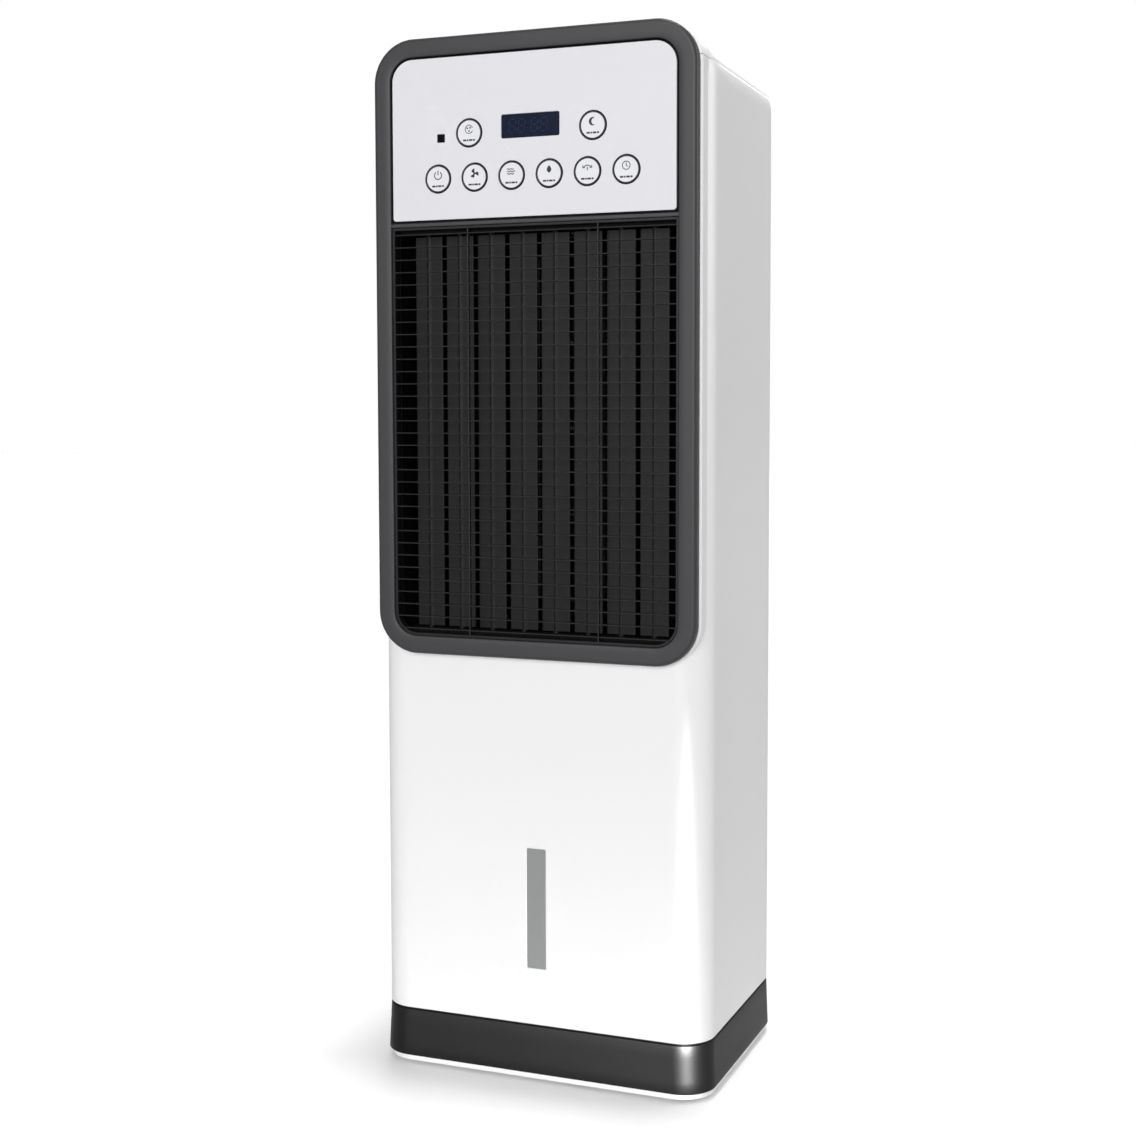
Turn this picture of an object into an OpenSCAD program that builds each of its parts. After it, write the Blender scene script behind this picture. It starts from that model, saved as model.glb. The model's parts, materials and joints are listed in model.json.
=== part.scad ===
// Slim tower evaporative cooler on a flat base.
// Millimetres. +Z up, -Y is the front, the origin is on the floor under the middle of the outside box.

/* [Body] */
// Width of the white body
body_w = 292; // [260:1:351]
// Depth of the white body, without the front ring
body_d = 210; // [200:1:252]
// Height of the top of the body at its front edge
body_top = 861.5; // [840:0.5:1040]
// Radius of the upright corners of the body
corner_r = 28; // [24:1:34]
// Radius of the left and right top edges
crown_r = 41; // [30:1:50]
// Radius of the top edge at the back
tail_r = 20; // [12:1:24]
// How much lower the top is at the back than at the front
top_fall = 6; // [0:0.5:12]
// Wall of the moulded shells
wall = 2.5; // [2:0.1:3]
// Distance of the top cover's seam below the top
seam_drop = 27; // [20:1:32]
// Open seam between shells
seam = 0.5; // [0.3:0.1:0.8]

/* [Base] */
// Visible height of the rubber feet
foot_h = 3; // [2:0.5:6]
// Radius of a foot
foot_r = 18; // [12:1:22]
// Thickness of the base plate
plate_t = 5; // [4:0.5:7]
// Height of the dark band round the base
band_h = 40; // [30:1:60]
// How far the band flares out at its bottom edge
band_flare = 1.5; // [0.5:0.1:3]
// Shadow gap between the band and the shell
band_gap = 1.5; // [1:0.1:3]
// Height of the rails that the tank slides on
rail_h = 48; // [40:1:60]

/* [Front ring] */
// Width of the front ring
bezel_w = 280; // [250:1:330]
// Height of the front ring
bezel_h = 506.5; // [450:0.5:600]
// How far the ring stands above the top of the body
bezel_over = 1.5; // [0:0.5:4]
// How far the ring stands proud of the body's front
bezel_proud = 8; // [6:0.5:10]
// Width of the ring's rails
bezel_rail = 15; // [12:0.5:18]
// Outer corner radius of the ring
bezel_r = 35; // [30:1:40]
// Rounding of the ring's outer front edge
bezel_round = 3; // [1:0.5:5]
// Height of the bar between the panel and the grille
crossbar_h = 3.2; // [2.5:0.1:6]
// Width of the white rim that shows round the ring
seat_rim = 2; // [1:0.5:3]

/* [Control panel] */
// Height of the control panel
panel_h = 130.5; // [120:0.5:160]
// Shadow gap round the control panel
panel_gap = 2; // [1:0.1:3]
// Thickness of the control panel
panel_t = 2.5; // [2:0.1:3]
// Diameter of a button's hole
button_hole_d = 23.6; // [20:0.1:26]
// Gap round a button
button_gap = 0.8; // [0.3:0.1:1]
// Travel of a button
button_travel = 0.7; // [0.4:0.1:1]
// Spacing of the lower row of buttons
button_pitch = 32.7; // [28:0.1:36]
// Height of the lower row above the bottom edge of the panel
low_row = 33; // [24:0.5:40]
// Height of the upper row above the bottom edge of the panel
high_row = 68.7; // [60:0.1:75]
// Distance of the upper buttons from the middle
high_x = 53.7; // [46:0.1:60]
// Width of the display window
display_w = 50.5; // [40:0.5:56]
// Height of the display window
display_h = 19; // [14:0.5:24]

/* [Outlet] */
// Spacing of the thin guard fins
fin_pitch = 10.2; // [8:0.1:14]
// Thickness of a guard fin
fin_t = 1; // [0.8:0.1:1.6]
// Depth of a guard fin
fin_d = 4; // [3:0.5:5]
// Number of upright louvres
louvre_n = 8; // [8:1:8]
// Spacing of the louvres
louvre_pitch = 28.4; // [26:0.1:30]
// Width of a louvre blade
louvre_chord = 25; // [18:0.5:25]
// Thickness of a louvre blade
louvre_t = 2; // [1.6:0.1:2.4]
// Radius of the louvre pivots
pivot_r = 2.5; // [2:0.1:3]
// Running clearance on the radius of a pivot
run = 0.06; // [0.03:0.01:0.1]
// Radius of the cranks under the louvres
crank_r = 7; // [5:0.5:8]

/* [Fan] */
// Radius of the cross-flow rotor
rotor_r = 50; // [42:1:52]
// Number of rotor blades
rotor_blades = 30; // [18:1:36]
// Radius of the rotor's shaft
shaft_r = 4; // [3:0.5:5]
// Radius of the fan motor
motor_r = 36; // [28:1:38]
// Height of the fan motor
motor_h = 48; // [36:1:50]

/* [Wet side] */
// Thickness of the cooling pad
pad_t = 24; // [15:1:26]
// Half the width of the cooling pad
pad_half = 104; // [90:1:106]
// Distance from the top of the cooling pad to the top of the body
pad_headroom = 90.5; // [87.5:0.5:159.5]
// Half the width of the water tank
tank_half = 106; // [90:1:107]
// Height of the water tank
tank_h = 170; // [140:1:172]
// Wall of the water tank
tank_wall = 2.4; // [2:0.1:3]
// Width of the water level window
window_w = 17; // [12:1:24]
// Height of the water level window
window_h = 101; // [80:1:120]
// Radius of the water pipe
pipe_r = 5.5; // [4.5:0.5:6]

/* [Hidden] */
$fn = 96;
big = 1200;

// Depth stations
depth_all = body_d + bezel_proud;
ring_y = -depth_all / 2;
front_y = ring_y + bezel_proud;
back_y = depth_all / 2;
mid_y = (front_y + back_y) / 2;
inner_y = front_y + wall;
cover_y = back_y - wall;

// Height stations
plate_z = foot_h;
band_z = plate_z + plate_t;
band_top = band_z + band_h;
shell_z = band_top + band_gap;
bezel_top = body_top + bezel_over;
bezel_z = bezel_top - bezel_h;
bezel_mid = bezel_z + bezel_h / 2;
top_tilt = atan(top_fall / body_d);
seam_back = body_top - seam_drop - top_fall;

// Front ring and control panel
ring_in_r = bezel_r - bezel_rail;
hole_half = bezel_w / 2 - bezel_rail;
hole_low = bezel_z + bezel_rail;
hole_high = bezel_top - bezel_rail;
skirt_t = 1.5;
fit = 0.5;
flange_w = 11;
flange_fit = 0.1;
panel_top = hole_high - panel_gap;
panel_z = panel_top - panel_h;
panel_half = hole_half - panel_gap;
panel_foot_r = 2.5;
panel_y = ring_y + 0.8;
panel_back = panel_y + panel_t;
bar_top = panel_z - panel_gap;
bar_low = bar_top - crossbar_h;
button_r = button_hole_d / 2 - button_gap;
button_front = panel_y - 0.3;
button_t = 2.4;
stem_r = 3;
tray_y = panel_back + 0.8;
tray_t = 2;
tray_back = tray_y + tray_t;
tray_rim = 12;
board_y = tray_back + 5.4;
board_t = 1.6;
switch_front = tray_back + 0.7;
stem_end = switch_front - button_travel - 0.1;
low_z = panel_z + low_row;
high_z = panel_z + high_row;
display_z = panel_z + 72;
ir_x = -79;
ir_z = panel_z + 65.6;
ir_w = 6.8;
BUTTON_AT = [for (i = [0:5]) [(i - 2.5) * button_pitch, low_z],
  [-high_x, high_z], [high_x, high_z]];

// Outlet: guard fins, duct, louvres and their linkage
fin_y = ring_y + 2;
fin_back = fin_y + fin_d;
louvre_y = fin_back + louvre_chord / 2 + 1;
duct_half = hole_half - 1;
duct_t = 2;
duct_back = louvre_y + louvre_chord / 2 + 15;
sill_t = 3;
sill_z = hole_low + 2.5;
head_z = bar_low - 5.3;
blade_z = sill_z + sill_t + 1.5;
blade_top = head_z - 1.5;
crank_t = 3;
crank_z = sill_z - 1.5 - crank_t;
bar_t = 3;
bar_z = crank_z - 1.5 - bar_t;
bar_half = 3.2;
crank_pin_r = 1.5;
drive_z = bar_z - 1.5 - crank_t;
shelf_t = 2;
shelf_z = drive_z - 1 - shelf_t;
shelf_back = louvre_y + crank_r + bar_half + 4.5;
swing_motor_r = 14;
swing_motor_h = 19;
swing_offset = 8;
swing_shaft_r = 2.5;

// Fan
rotor_y = mid_y + 3;
scroll_r = rotor_r + 10;
scroll_t = 2;
scroll_floor_z = sill_z + 15;
floor_t = 3;
scroll_z = scroll_floor_z + floor_t;
scroll_top = head_z - 7;
scroll_half = duct_half - 2;
scroll_back = back_y - 41;
rotor_z = scroll_z + 6;
rotor_top = scroll_top - 8;
bush_r = 10;
motor_z = scroll_top + floor_t;

// Wet side
deck_t = 4;
tank_z = band_z + rail_h;
tank_top = tank_z + tank_h;
fascia_top = tank_top + 2.5;
fascia_z = shell_z + 1.5;
deck_z = tank_top + 10;
pad_frame_t = 3;
pad_frame_z = deck_z + 23;
pad_z = pad_frame_z + pad_frame_t;
pad_top = body_top - pad_headroom;
pad_h = pad_top - pad_z;
pad_y = scroll_back + 2;
pad_frame_back = pad_y + pad_t + 3;
pad_frame_top = pad_top + pad_frame_t;
tray_h = 18;
grille_half = pad_half - 4;
grille_z = pad_z + 4;
grille_top = pad_top - 3;
grille_fit = 0.6;
grille_d = 7;
collar_t = 2;
tank_y = inner_y + 6.5;
tank_back = back_y - 15;
fascia_half = tank_half + 3;
fascia_t = 3;
opening_fit = 0.5;
pump_x = -tank_half + 26;
pump_y = tank_back - 34;
pump_w = 40;
pump_d = 36;
pump_h = 50;
pump_z = tank_z + tank_wall + 0.2;
impeller_z = pump_z + 20;
spigot_top = fascia_top - 1;
latch_z = tank_top - 14.5;
latch_r = 11;
latch_reach = 21.5;
plug_x = tank_half - 26;
plug_z = tank_z + 19;
plug_r = 11;
plug_shank_r = 6;
grip_half = 45;
grip_h = 30;
grip_gap = 10.5;
grip_z = latch_z - latch_r - grip_gap - grip_h;
hold_half = 50;
hold_h = 22;
hold_z = pad_frame_top + tray_h + 5;
riser_x = -(body_w / 2 - wall - pipe_r - 7);
riser_top = pad_frame_top + tray_h + 8;
gland_x = 85;
gland_z = deck_z + 10;
gland_r = 8;
gland_bore_r = 3.6;
window_z = tank_z + 41;
strip_in = fascia_half + 2;
screw_x = strip_in + 3.5;
screw_r = 1.6;
screw_head_r = 3.2;
screw_head_t = 1.8;
screw_rows = 6;
stud_r = 5;
foot_x = body_w / 2 - foot_r - 14;
foot_y = body_d / 2 - foot_r - 12;

// Colours
c_white = "#f4f4f5";
c_ring = "#4e4f52";
c_panel = "#dedee2";
c_black = "#1c1c1d";
c_blade = "#2f3033";
c_band = "#262625";
c_window = "#969898";
c_navy = "#191e37";
c_board = "#1f5a3a";
c_steel = "#b9bcc0";
c_pad = "#b98f5a";
c_clear = "#c9d6dc";
c_pipe = "#8f959b";

// ---- Shapes that repeat ----

// Rounded rectangle about its middle
module rounded(w, h, r) {
  square([w - 2 * r, h], center = true);
  square([w, h - 2 * r], center = true);
  for (sx = [-1, 1], sy = [-1, 1])
    translate([sx * (w / 2 - r), sy * (h / 2 - r)]) circle(r);
}

// Outline drawn in X and Z, made solid from y0 to y1
module facing(y0, y1) {
  translate([0, y1, 0]) rotate([90, 0, 0]) linear_extrude(y1 - y0) children();
}

// Box from its low and high corners
module block(low, high) {
  translate(low) cube(high - low);
}

// Round bar along Y
module rod_y(x, z, y0, y1, r) {
  translate([x, y1, z]) rotate([90, 0, 0]) cylinder(h = y1 - y0, r = r);
}

// Plan of the body, drawn in by an inset, from z0 to z1
module plan(inset, z0, z1) {
  translate([0, mid_y, z0]) linear_extrude(z1 - z0)
    rounded(body_w - 2 * inset, body_d - 2 * inset, corner_r - inset);
}

// Frame that leans back with the top of the body
module leaning() {
  translate([0, front_y, body_top]) rotate([-top_tilt, 0, 0]) children();
}

// Everything below a plane that lies parallel to the top
module below_top(drop) {
  leaning() block([-big, -big, -big], [big, big, -drop]);
}

// Prism of the body's front outline, with its rounded top edges
module crown(inset) {
  leaning() facing(-body_d, 2 * body_d)
    translate([0, -big / 2 - inset]) rounded(body_w - 2 * inset, big, crown_r - inset);
}

// Outside of the body, drawn in by an inset
module envelope(inset) {
  tail_z = body_top - top_fall * (body_d - tail_r) / body_d - tail_r;
  intersection() {
    plan(inset, plate_z, bezel_top);
    crown(inset);
    rotate([90, 0, 90]) linear_extrude(body_w, center = true) {
      translate([-big, 0]) square([big + back_y - tail_r, big]);
      square([back_y - inset, tail_z]);
      translate([back_y - tail_r, tail_z]) circle(tail_r - inset);
    }
  }
}

// Wall of the body with the square seat that carries the front ring over the rounded corners
module shell_wall() {
  difference() {
    union() {
      envelope(0);
      intersection() {
        facing(front_y, mid_y) translate([0, bezel_mid])
          rounded(bezel_w + 2 * seat_rim, bezel_h + 2 * seat_rim, bezel_r + seat_rim);
        crown(0);
      }
    }
    envelope(wall);
  }
}

// Opening in the front of the shells for the panel and the outlet
module front_opening(grow) {
  facing(front_y - 1, inner_y + 1) translate([0, bezel_mid])
    rounded(2 * (hole_half + grow), bezel_h - 2 * bezel_rail + 2 * grow, ring_in_r + grow);
}

// Upright wall of a ring, from its outer and inner outlines
module frame_2d(w, h, r, t) {
  difference() {
    rounded(w, h, r);
    rounded(w - 2 * t, h - 2 * t, max(r - t, 0.5));
  }
}

// Straight wall between two points in plan
module wall_line(a, b, t) {
  d = b - a;
  translate(a) rotate(atan2(d[1], d[0])) translate([0, -t / 2]) square([norm(d), t]);
}

// Pipe through a list of points
module pipe(points, r) {
  for (i = [0:len(points) - 2]) {
    a = points[i];
    d = points[i + 1] - a;
    translate(a) rotate([0, acos(d[2] / norm(d)), atan2(d[1], d[0])]) cylinder(h = norm(d), r = r);
  }
  for (i = [1:len(points) - 2]) translate(points[i]) sphere(r);
}

// ---- White shells ----

module main_shell() {
  color(c_white) difference() {
    union() {
      intersection() {
        difference() {
          shell_wall();
          block([-strip_in - 7, cover_y - 1, 0], [strip_in + 7, back_y + 1, big]);
        }
        below_top(seam_drop);
        block([-big, -big, shell_z], [big, big, big]);
      }
      for (s = [-1, 1]) {
        edge = s * (strip_in + 6.5);
        block([edge - 6.5, cover_y - wall, shell_z], [edge + 6.5, cover_y, seam_back - 8]);
      }
    }
    front_opening(skirt_t + fit);
    facing(front_y - 1, inner_y + 1) translate([0, window_z + window_h / 2])
      rounded(window_w, window_h, 1);
    screw_places() rod_y(0, 0, cover_y - wall - 1, back_y, screw_r);
  }
}

module top_cover() {
  lip = wall + 0.2;
  color(c_white) difference() {
    union() {
      difference() {
        shell_wall();
        below_top(seam_drop - seam);
      }
      intersection() {
        difference() {
          envelope(lip);
          envelope(lip + 1.8);
          below_top(seam_drop + 6);
        }
        below_top(seam_drop - seam - 1.5);
      }
      intersection() {
        difference() {
          envelope(wall - 0.5);
          envelope(lip + 1.8);
          below_top(seam_drop - seam);
        }
        below_top(seam_drop - seam - 1.5);
      }
    }
    front_opening(skirt_t + fit);
    block([-hole_half - 14, inner_y - 0.1, 0], [hole_half + 14, inner_y + 6, seam_back + 8]);
  }
}

module rear_cover() {
  half = strip_in + 6.7;
  top = seam_back - seam - 0.3;
  color(c_white) difference() {
    union() {
      block([-half, cover_y, shell_z], [half, back_y, top]);
      facing(pad_frame_back, cover_y) translate([0, (grille_z + grille_top) / 2])
        frame_2d(2 * (grille_half + grille_fit + collar_t),
          grille_top - grille_z + 2 * (grille_fit + collar_t), 6, collar_t);
      block([-hold_half - 2, back_y - 25, hold_z - 2], [hold_half + 2, cover_y, hold_z + hold_h + 2]);
    }
    facing(cover_y - 1, back_y + 1) translate([0, (grille_z + grille_top) / 2])
      rounded(2 * (grille_half + grille_fit), grille_top - grille_z + 2 * grille_fit, 4.5);
    block([-fascia_half - opening_fit, cover_y - 1, 0],
      [fascia_half + opening_fit, back_y + 1, fascia_top + opening_fit]);
    facing(back_y - 23, back_y + 1) translate([0, hold_z + hold_h / 2])
      rounded(2 * hold_half, hold_h, 8);
    rod_y(gland_x, gland_z, cover_y - 1, back_y + 1, gland_r);
    screw_places() {
      rod_y(0, 0, cover_y - 1, back_y + 1, screw_r);
      rod_y(0, 0, back_y - screw_head_t, back_y + 1, screw_head_r + 0.2);
    }
  }
}

// Places of the rear cover's screws
module screw_places() {
  low = shell_z + 18;
  step = (seam_back - 22 - low) / (screw_rows - 1);
  for (s = [-1, 1], i = [0:screw_rows - 1]) translate([s * screw_x, 0, low + i * step]) children();
}

module case_screws() {
  color(c_steel) screw_places() difference() {
    union() {
      rod_y(0, 0, back_y - screw_head_t, back_y - 0.2, screw_head_r);
      rod_y(0, 0, cover_y - 9, back_y - screw_head_t, screw_r);
    }
    for (turn = [0, 90]) translate([0, back_y, 0]) rotate([0, turn, 0])
      cube([3.6, 2.2, 0.9], center = true);
  }
}

// ---- Front ring and control panel ----

module bezel_profile() {
  inner_round = 1;
  difference() {
    square([bezel_rail, bezel_proud]);
    translate([bezel_rail - bezel_round, bezel_proud - bezel_round]) difference() {
      square(bezel_round + 1);
      circle(bezel_round);
    }
    translate([inner_round, bezel_proud - inner_round]) mirror([1, 0]) difference() {
      square(inner_round + 1);
      circle(inner_round);
    }
  }
  translate([0, 0.5 - wall]) square([skirt_t, wall]);
}

module front_bezel() {
  cx = bezel_w / 2 - bezel_r;
  cz = bezel_h / 2 - bezel_r;
  color(c_ring) {
    translate([0, front_y, bezel_mid]) rotate([90, 0, 0]) {
      for (q = [0:3]) {
        sx = (q == 0 || q == 3) ? 1 : -1;
        sz = q < 2 ? 1 : -1;
        translate([sx * cx, sz * cz, 0]) rotate([0, 0, 90 * q]) rotate_extrude(angle = 90)
          translate([ring_in_r, 0]) bezel_profile();
        half = q % 2 == 0 ? bezel_w / 2 : bezel_h / 2;
        long = q % 2 == 0 ? cz : cx;
        rotate([0, 0, 90 * q]) translate([half - bezel_rail, long, 0]) rotate([90, 0, 0])
          linear_extrude(2 * long) bezel_profile();
      }
    }
    block([-hole_half - 1, ring_y + 1, bar_low], [hole_half + 1, front_y, bar_top]);
  }
}

module panel_outline() {
  half = panel_half - ring_in_r + panel_gap;
  r = ring_in_r - panel_gap;
  foot = panel_half - panel_foot_r;
  translate([0, panel_z + panel_foot_r]) square_from(-panel_half, panel_half, panel_h - panel_foot_r - r);
  translate([0, panel_z]) square_from(-foot, foot, panel_foot_r + 1);
  translate([0, panel_top - r - 1]) square_from(-half, half, r + 1);
  for (s = [-1, 1]) {
    translate([s * half, panel_top - r]) circle(r);
    translate([s * foot, panel_z + panel_foot_r]) circle(panel_foot_r);
  }
}

// Rectangle from x0 to x1 that stands on its own base line
module square_from(x0, x1, h) {
  translate([x0, 0]) square([x1 - x0, h]);
}

module control_panel() {
  color(c_panel) difference() {
    facing(panel_y, panel_back) panel_outline();
    for (p = BUTTON_AT) rod_y(p[0], p[1], panel_y - 1, panel_back + 1, button_hole_d / 2);
    facing(panel_y - 1, panel_back + 1) translate([0, display_z])
      rounded(display_w, display_h, 1.5);
    facing(panel_y - 1, panel_back + 1) translate([ir_x, ir_z]) square(ir_w, center = true);
  }
}

// Black tray behind the panel: it guides the buttons and carries the board
module panel_housing() {
  half = hole_half - fit;
  low = bar_top + 0.2;
  high = hole_high - fit;
  mid = (low + high) / 2;
  r = ring_in_r - fit;
  post_x = panel_half - 12;
  color(c_black) difference() {
    union() {
      facing(tray_y, tray_back) housing_outline(half, low, high, r);
      facing(tray_back, tray_y + tray_rim) difference() {
        housing_outline(half, low, high, r);
        housing_outline(half - 2, low + 2, high - 2, r - 2);
      }
      for (s = [-1, 1], z = [mid - 35, mid + 25]) side_flange(s, half - 1, z - 8, z + 8);
      for (s = [-1, 1], z = [panel_z + 12, panel_z + 84])
        rod_y(s * post_x, z, tray_back, board_y, 3.5);
    }
    for (p = BUTTON_AT) rod_y(p[0], p[1], tray_y - 1, tray_back + 1, stem_r + 0.1);
    facing(tray_y - 1, tray_back + 1) translate([0, display_z])
      square([display_w + 1, display_h + 1], center = true);
    rod_y(ir_x, ir_z, tray_y - 1, tray_back + 1, 2.7);
  }
}

module housing_outline(half, low, high, r) {
  translate([0, low]) square_from(-half, half, high - low - r);
  translate([0, low]) square_from(-half + r, half - r, high - low);
  for (s = [-1, 1]) translate([s * (half - r), high - r]) circle(r);
}

module display_lens() {
  color(c_navy) facing(panel_y, panel_back - 0.3) translate([0, display_z])
    rounded(display_w - 0.4, display_h - 0.4, 1.3);
}

module display_module() {
  color(c_black) facing(panel_back + 0.1, board_y) translate([0, display_z])
    square([display_w - 0.2, display_h], center = true);
}

module ir_window() {
  color(c_black) {
    facing(panel_y, panel_back) translate([ir_x, ir_z]) square(ir_w - 0.3, center = true);
    rod_y(ir_x, ir_z, panel_back, board_y, 2.5);
  }
}

module control_board() {
  half = panel_half - 6;
  color(c_board) difference() {
    block([-half, board_y, panel_z + 6], [half, board_y + board_t, panel_z + 100]);
    for (s = [-1, 1], z = [panel_z + 12, panel_z + 84])
      rod_y(s * (panel_half - 12), z, board_y - 1, board_y + board_t + 1, 1.5);
  }
  color(c_black) block([-30, board_y + board_t, panel_z + 20], [-8, board_y + board_t + 3, panel_z + 42]);
  color(c_white) block([60, board_y + board_t, panel_z + 14], [86, board_y + board_t + 8, panel_z + 20]);
}

module tact_switches() {
  body_t = board_y - switch_front - 0.8;
  color(c_black) for (p = BUTTON_AT) {
    facing(board_y - body_t, board_y) translate(p) square(6, center = true);
    rod_y(p[0], p[1], switch_front, board_y - body_t, 1.75);
  }
}

module button(i) {
  p = BUTTON_AT[i];
  color(c_panel) {
    rod_y(p[0], p[1], button_front, button_front + button_t, button_r);
    rod_y(p[0], p[1], button_front + button_t, stem_end, stem_r);
  }
}

// ---- Air outlet ----

module outlet_grille() {
  half = hole_half - 0.3;
  low = hole_low + 0.3;
  high = bar_low - 0.3;
  rim = 2.2;
  n = floor((high - low) / fin_pitch);
  first = low + (high - low - (n - 1) * fin_pitch) / 2;
  r = ring_in_r - 0.3;
  color(c_black) {
    facing(fin_y, front_y + 1.8) difference() {
      grille_outline(half, low, high, r);
      grille_outline(half - rim, low + rim, high - rim, r - rim);
    }
    intersection() {
      facing(fin_y, fin_back) grille_outline(half, low, high, r);
      union() {
        for (i = [0:n - 1])
          block([-half, fin_y, first + i * fin_pitch - fin_t / 2],
            [half, fin_back, first + i * fin_pitch + fin_t / 2]);
        for (x = [-2, 2] * louvre_pitch) block([x - 0.6, fin_y + 1, low], [x + 0.6, fin_back, high]);
      }
    }
  }
}

module grille_outline(half, low, high, r) {
  translate([0, low + r]) square_from(-half, half, high - low - r);
  translate([0, low]) square_from(-half + r, half - r, high - low);
  for (s = [-1, 1]) translate([s * (half - r), low + r]) circle(r);
}

// Four walls of the duct, seen from the front: its sides, its sill and its head
module duct_frame(w, h) {
  difference() {
    square([w, h], center = true);
    square([w - 2 * duct_t, h - 2 * sill_t], center = true);
  }
}

// Fixing flange that lies against the inside of the shell's corner, s = -1 on the left and 1 on the right
module side_flange(s, from, z0, z1) {
  a = s < 0 ? -from - flange_w : from;
  intersection() {
    block([a, inner_y, z0], [a + flange_w, inner_y + 8, z1]);
    envelope(wall + flange_fit);
  }
}

function louvre_x(i) = (i - (louvre_n + 1) / 2) * louvre_pitch;

// Duct behind the guard: it carries the louvre pivots and the shelf of the swing motor
module outlet_duct() {
  color(c_black) difference() {
    union() {
      intersection() {
        facing(inner_y, duct_back) translate([0, (sill_z + head_z + sill_t) / 2])
          duct_frame(2 * duct_half, head_z + sill_t - sill_z);
        envelope(wall + flange_fit);
      }
      for (s = [-1, 1]) side_flange(s, duct_half - 1, sill_z, head_z + sill_t);
      block([-26, shelf_back, shelf_z], [26, shelf_back + 3, sill_z]);
      block([-26, inner_y + 2, shelf_z], [26, shelf_back, shelf_z + shelf_t]);
    }
    for (i = [1:louvre_n]) translate([louvre_x(i), louvre_y, 0]) {
      translate([0, 0, sill_z - 1]) cylinder(h = sill_t + 2, r = pivot_r + run);
      translate([0, 0, head_z - 1]) cylinder(h = sill_t + 2, r = pivot_r + run);
    }
    translate([0, louvre_y, shelf_z - 1]) cylinder(h = shelf_t + 2, r = 4.6);
  }
}

module crank(z) {
  translate([0, 0, z]) linear_extrude(crank_t) {
    circle(4.5);
    translate([0, crank_r]) circle(3);
    translate([-2.5, 0]) square([5, crank_r]);
  }
}

module louvre(i) {
  straight = louvre_chord - louvre_t;
  color(c_blade) translate([louvre_x(i), louvre_y, 0]) {
    translate([0, 0, blade_z]) linear_extrude(blade_top - blade_z) {
      square([straight, louvre_t], center = true);
      for (s = [-1, 1]) translate([s * straight / 2, 0]) circle(louvre_t / 2);
      translate([0, 0.9]) circle(pivot_r);
    }
    translate([0, 0, blade_top]) cylinder(h = head_z + sill_t + 1 - blade_top, r = pivot_r);
    translate([0, 0, crank_z]) cylinder(h = blade_z - crank_z, r = pivot_r);
    crank(crank_z);
    translate([0, crank_r, bar_z]) cylinder(h = crank_z - bar_z, r = crank_pin_r);
  }
}

module link_bar() {
  end = louvre_x(louvre_n);
  color(c_black) difference() {
    translate([0, louvre_y + crank_r, bar_z]) linear_extrude(bar_t) {
      square([2 * end, 2 * bar_half], center = true);
      for (s = [-1, 1]) translate([s * end, 0]) circle(bar_half);
    }
    for (x = [for (i = [1:louvre_n]) louvre_x(i), 0])
      translate([x, louvre_y + crank_r, bar_z - 1]) cylinder(h = bar_t + 2, r = crank_pin_r + run);
  }
}

// Crank on the swing motor's shaft: it moves the link bar from below
module swing_crank() {
  color(c_white) translate([0, louvre_y, 0]) {
    crank(drive_z);
    translate([0, crank_r, drive_z + crank_t])
      cylinder(h = bar_z + bar_t - drive_z - crank_t, r = crank_pin_r);
    translate([0, 0, shelf_z - 1]) cylinder(h = drive_z - shelf_z + 1, r = swing_shaft_r);
  }
}

module swing_motor() {
  color(c_steel) difference() {
    union() {
      translate([0, louvre_y + swing_offset, shelf_z - swing_motor_h])
        cylinder(h = swing_motor_h, r = swing_motor_r);
      block([-20, louvre_y + swing_offset - 3.5, shelf_z - 1], [20, louvre_y + swing_offset + 3.5, shelf_z]);
    }
    translate([0, louvre_y, shelf_z - 8]) cylinder(h = 9, r = swing_shaft_r + run);
  }
}

// ---- Fan ----

module scroll_walls() {
  centre = [4, rotor_y];
  turn_0 = -50;
  turn_1 = 62;
  mid_r = scroll_r + scroll_t / 2;
  a = centre + mid_r * [cos(turn_0), sin(turn_0)];
  b = centre + mid_r * [cos(turn_1), sin(turn_1)];
  tongue = [-rotor_r + 2, rotor_y - 30];
  difference() {
    translate(centre) circle(scroll_r + scroll_t);
    translate(centre) circle(scroll_r);
    translate([-big, -big]) square([big + a[0], 2 * big]);
    translate([-big, b[1]]) square([2 * big, big]);
    translate([-big, -big]) square([2 * big, big + a[1]]);
  }
  difference() {
    translate(centre) circle(scroll_r + scroll_t);
    translate(centre) circle(scroll_r);
    translate([-big, -big]) square([big + b[0], 2 * big]);
    translate([-big, -big]) square([2 * big, big + rotor_y]);
  }
  wall_line(a, [scroll_half - 1, duct_back], scroll_t);
  wall_line(b, [scroll_half - 1, scroll_back - 1], scroll_t);
  wall_line(tongue, [-scroll_half + 1, duct_back], scroll_t);
  translate(tongue) circle(3);
}

module fan_scroll() {
  leg = 8;
  color(c_black) difference() {
    union() {
      translate([0, 0, scroll_z]) linear_extrude(scroll_top - scroll_z) scroll_walls();
      block([-scroll_half, duct_back, scroll_floor_z], [scroll_half, scroll_back, scroll_z]);
      for (x = [-scroll_half + 12, scroll_half - 12], y = [mid_y - 50, mid_y + 46])
        block([x - leg / 2, y - leg / 2, deck_z + deck_t], [x + leg / 2, y + leg / 2, scroll_floor_z]);
    }
    translate([0, rotor_y, scroll_floor_z - 1]) cylinder(h = floor_t + 2, r = bush_r);
  }
}

module fan_bush() {
  color(c_steel) translate([0, rotor_y, scroll_floor_z - 4]) difference() {
    cylinder(h = floor_t + 6, r = bush_r);
    translate([0, 0, -1]) cylinder(h = floor_t + 8, r = shaft_r + run);
  }
}

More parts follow.
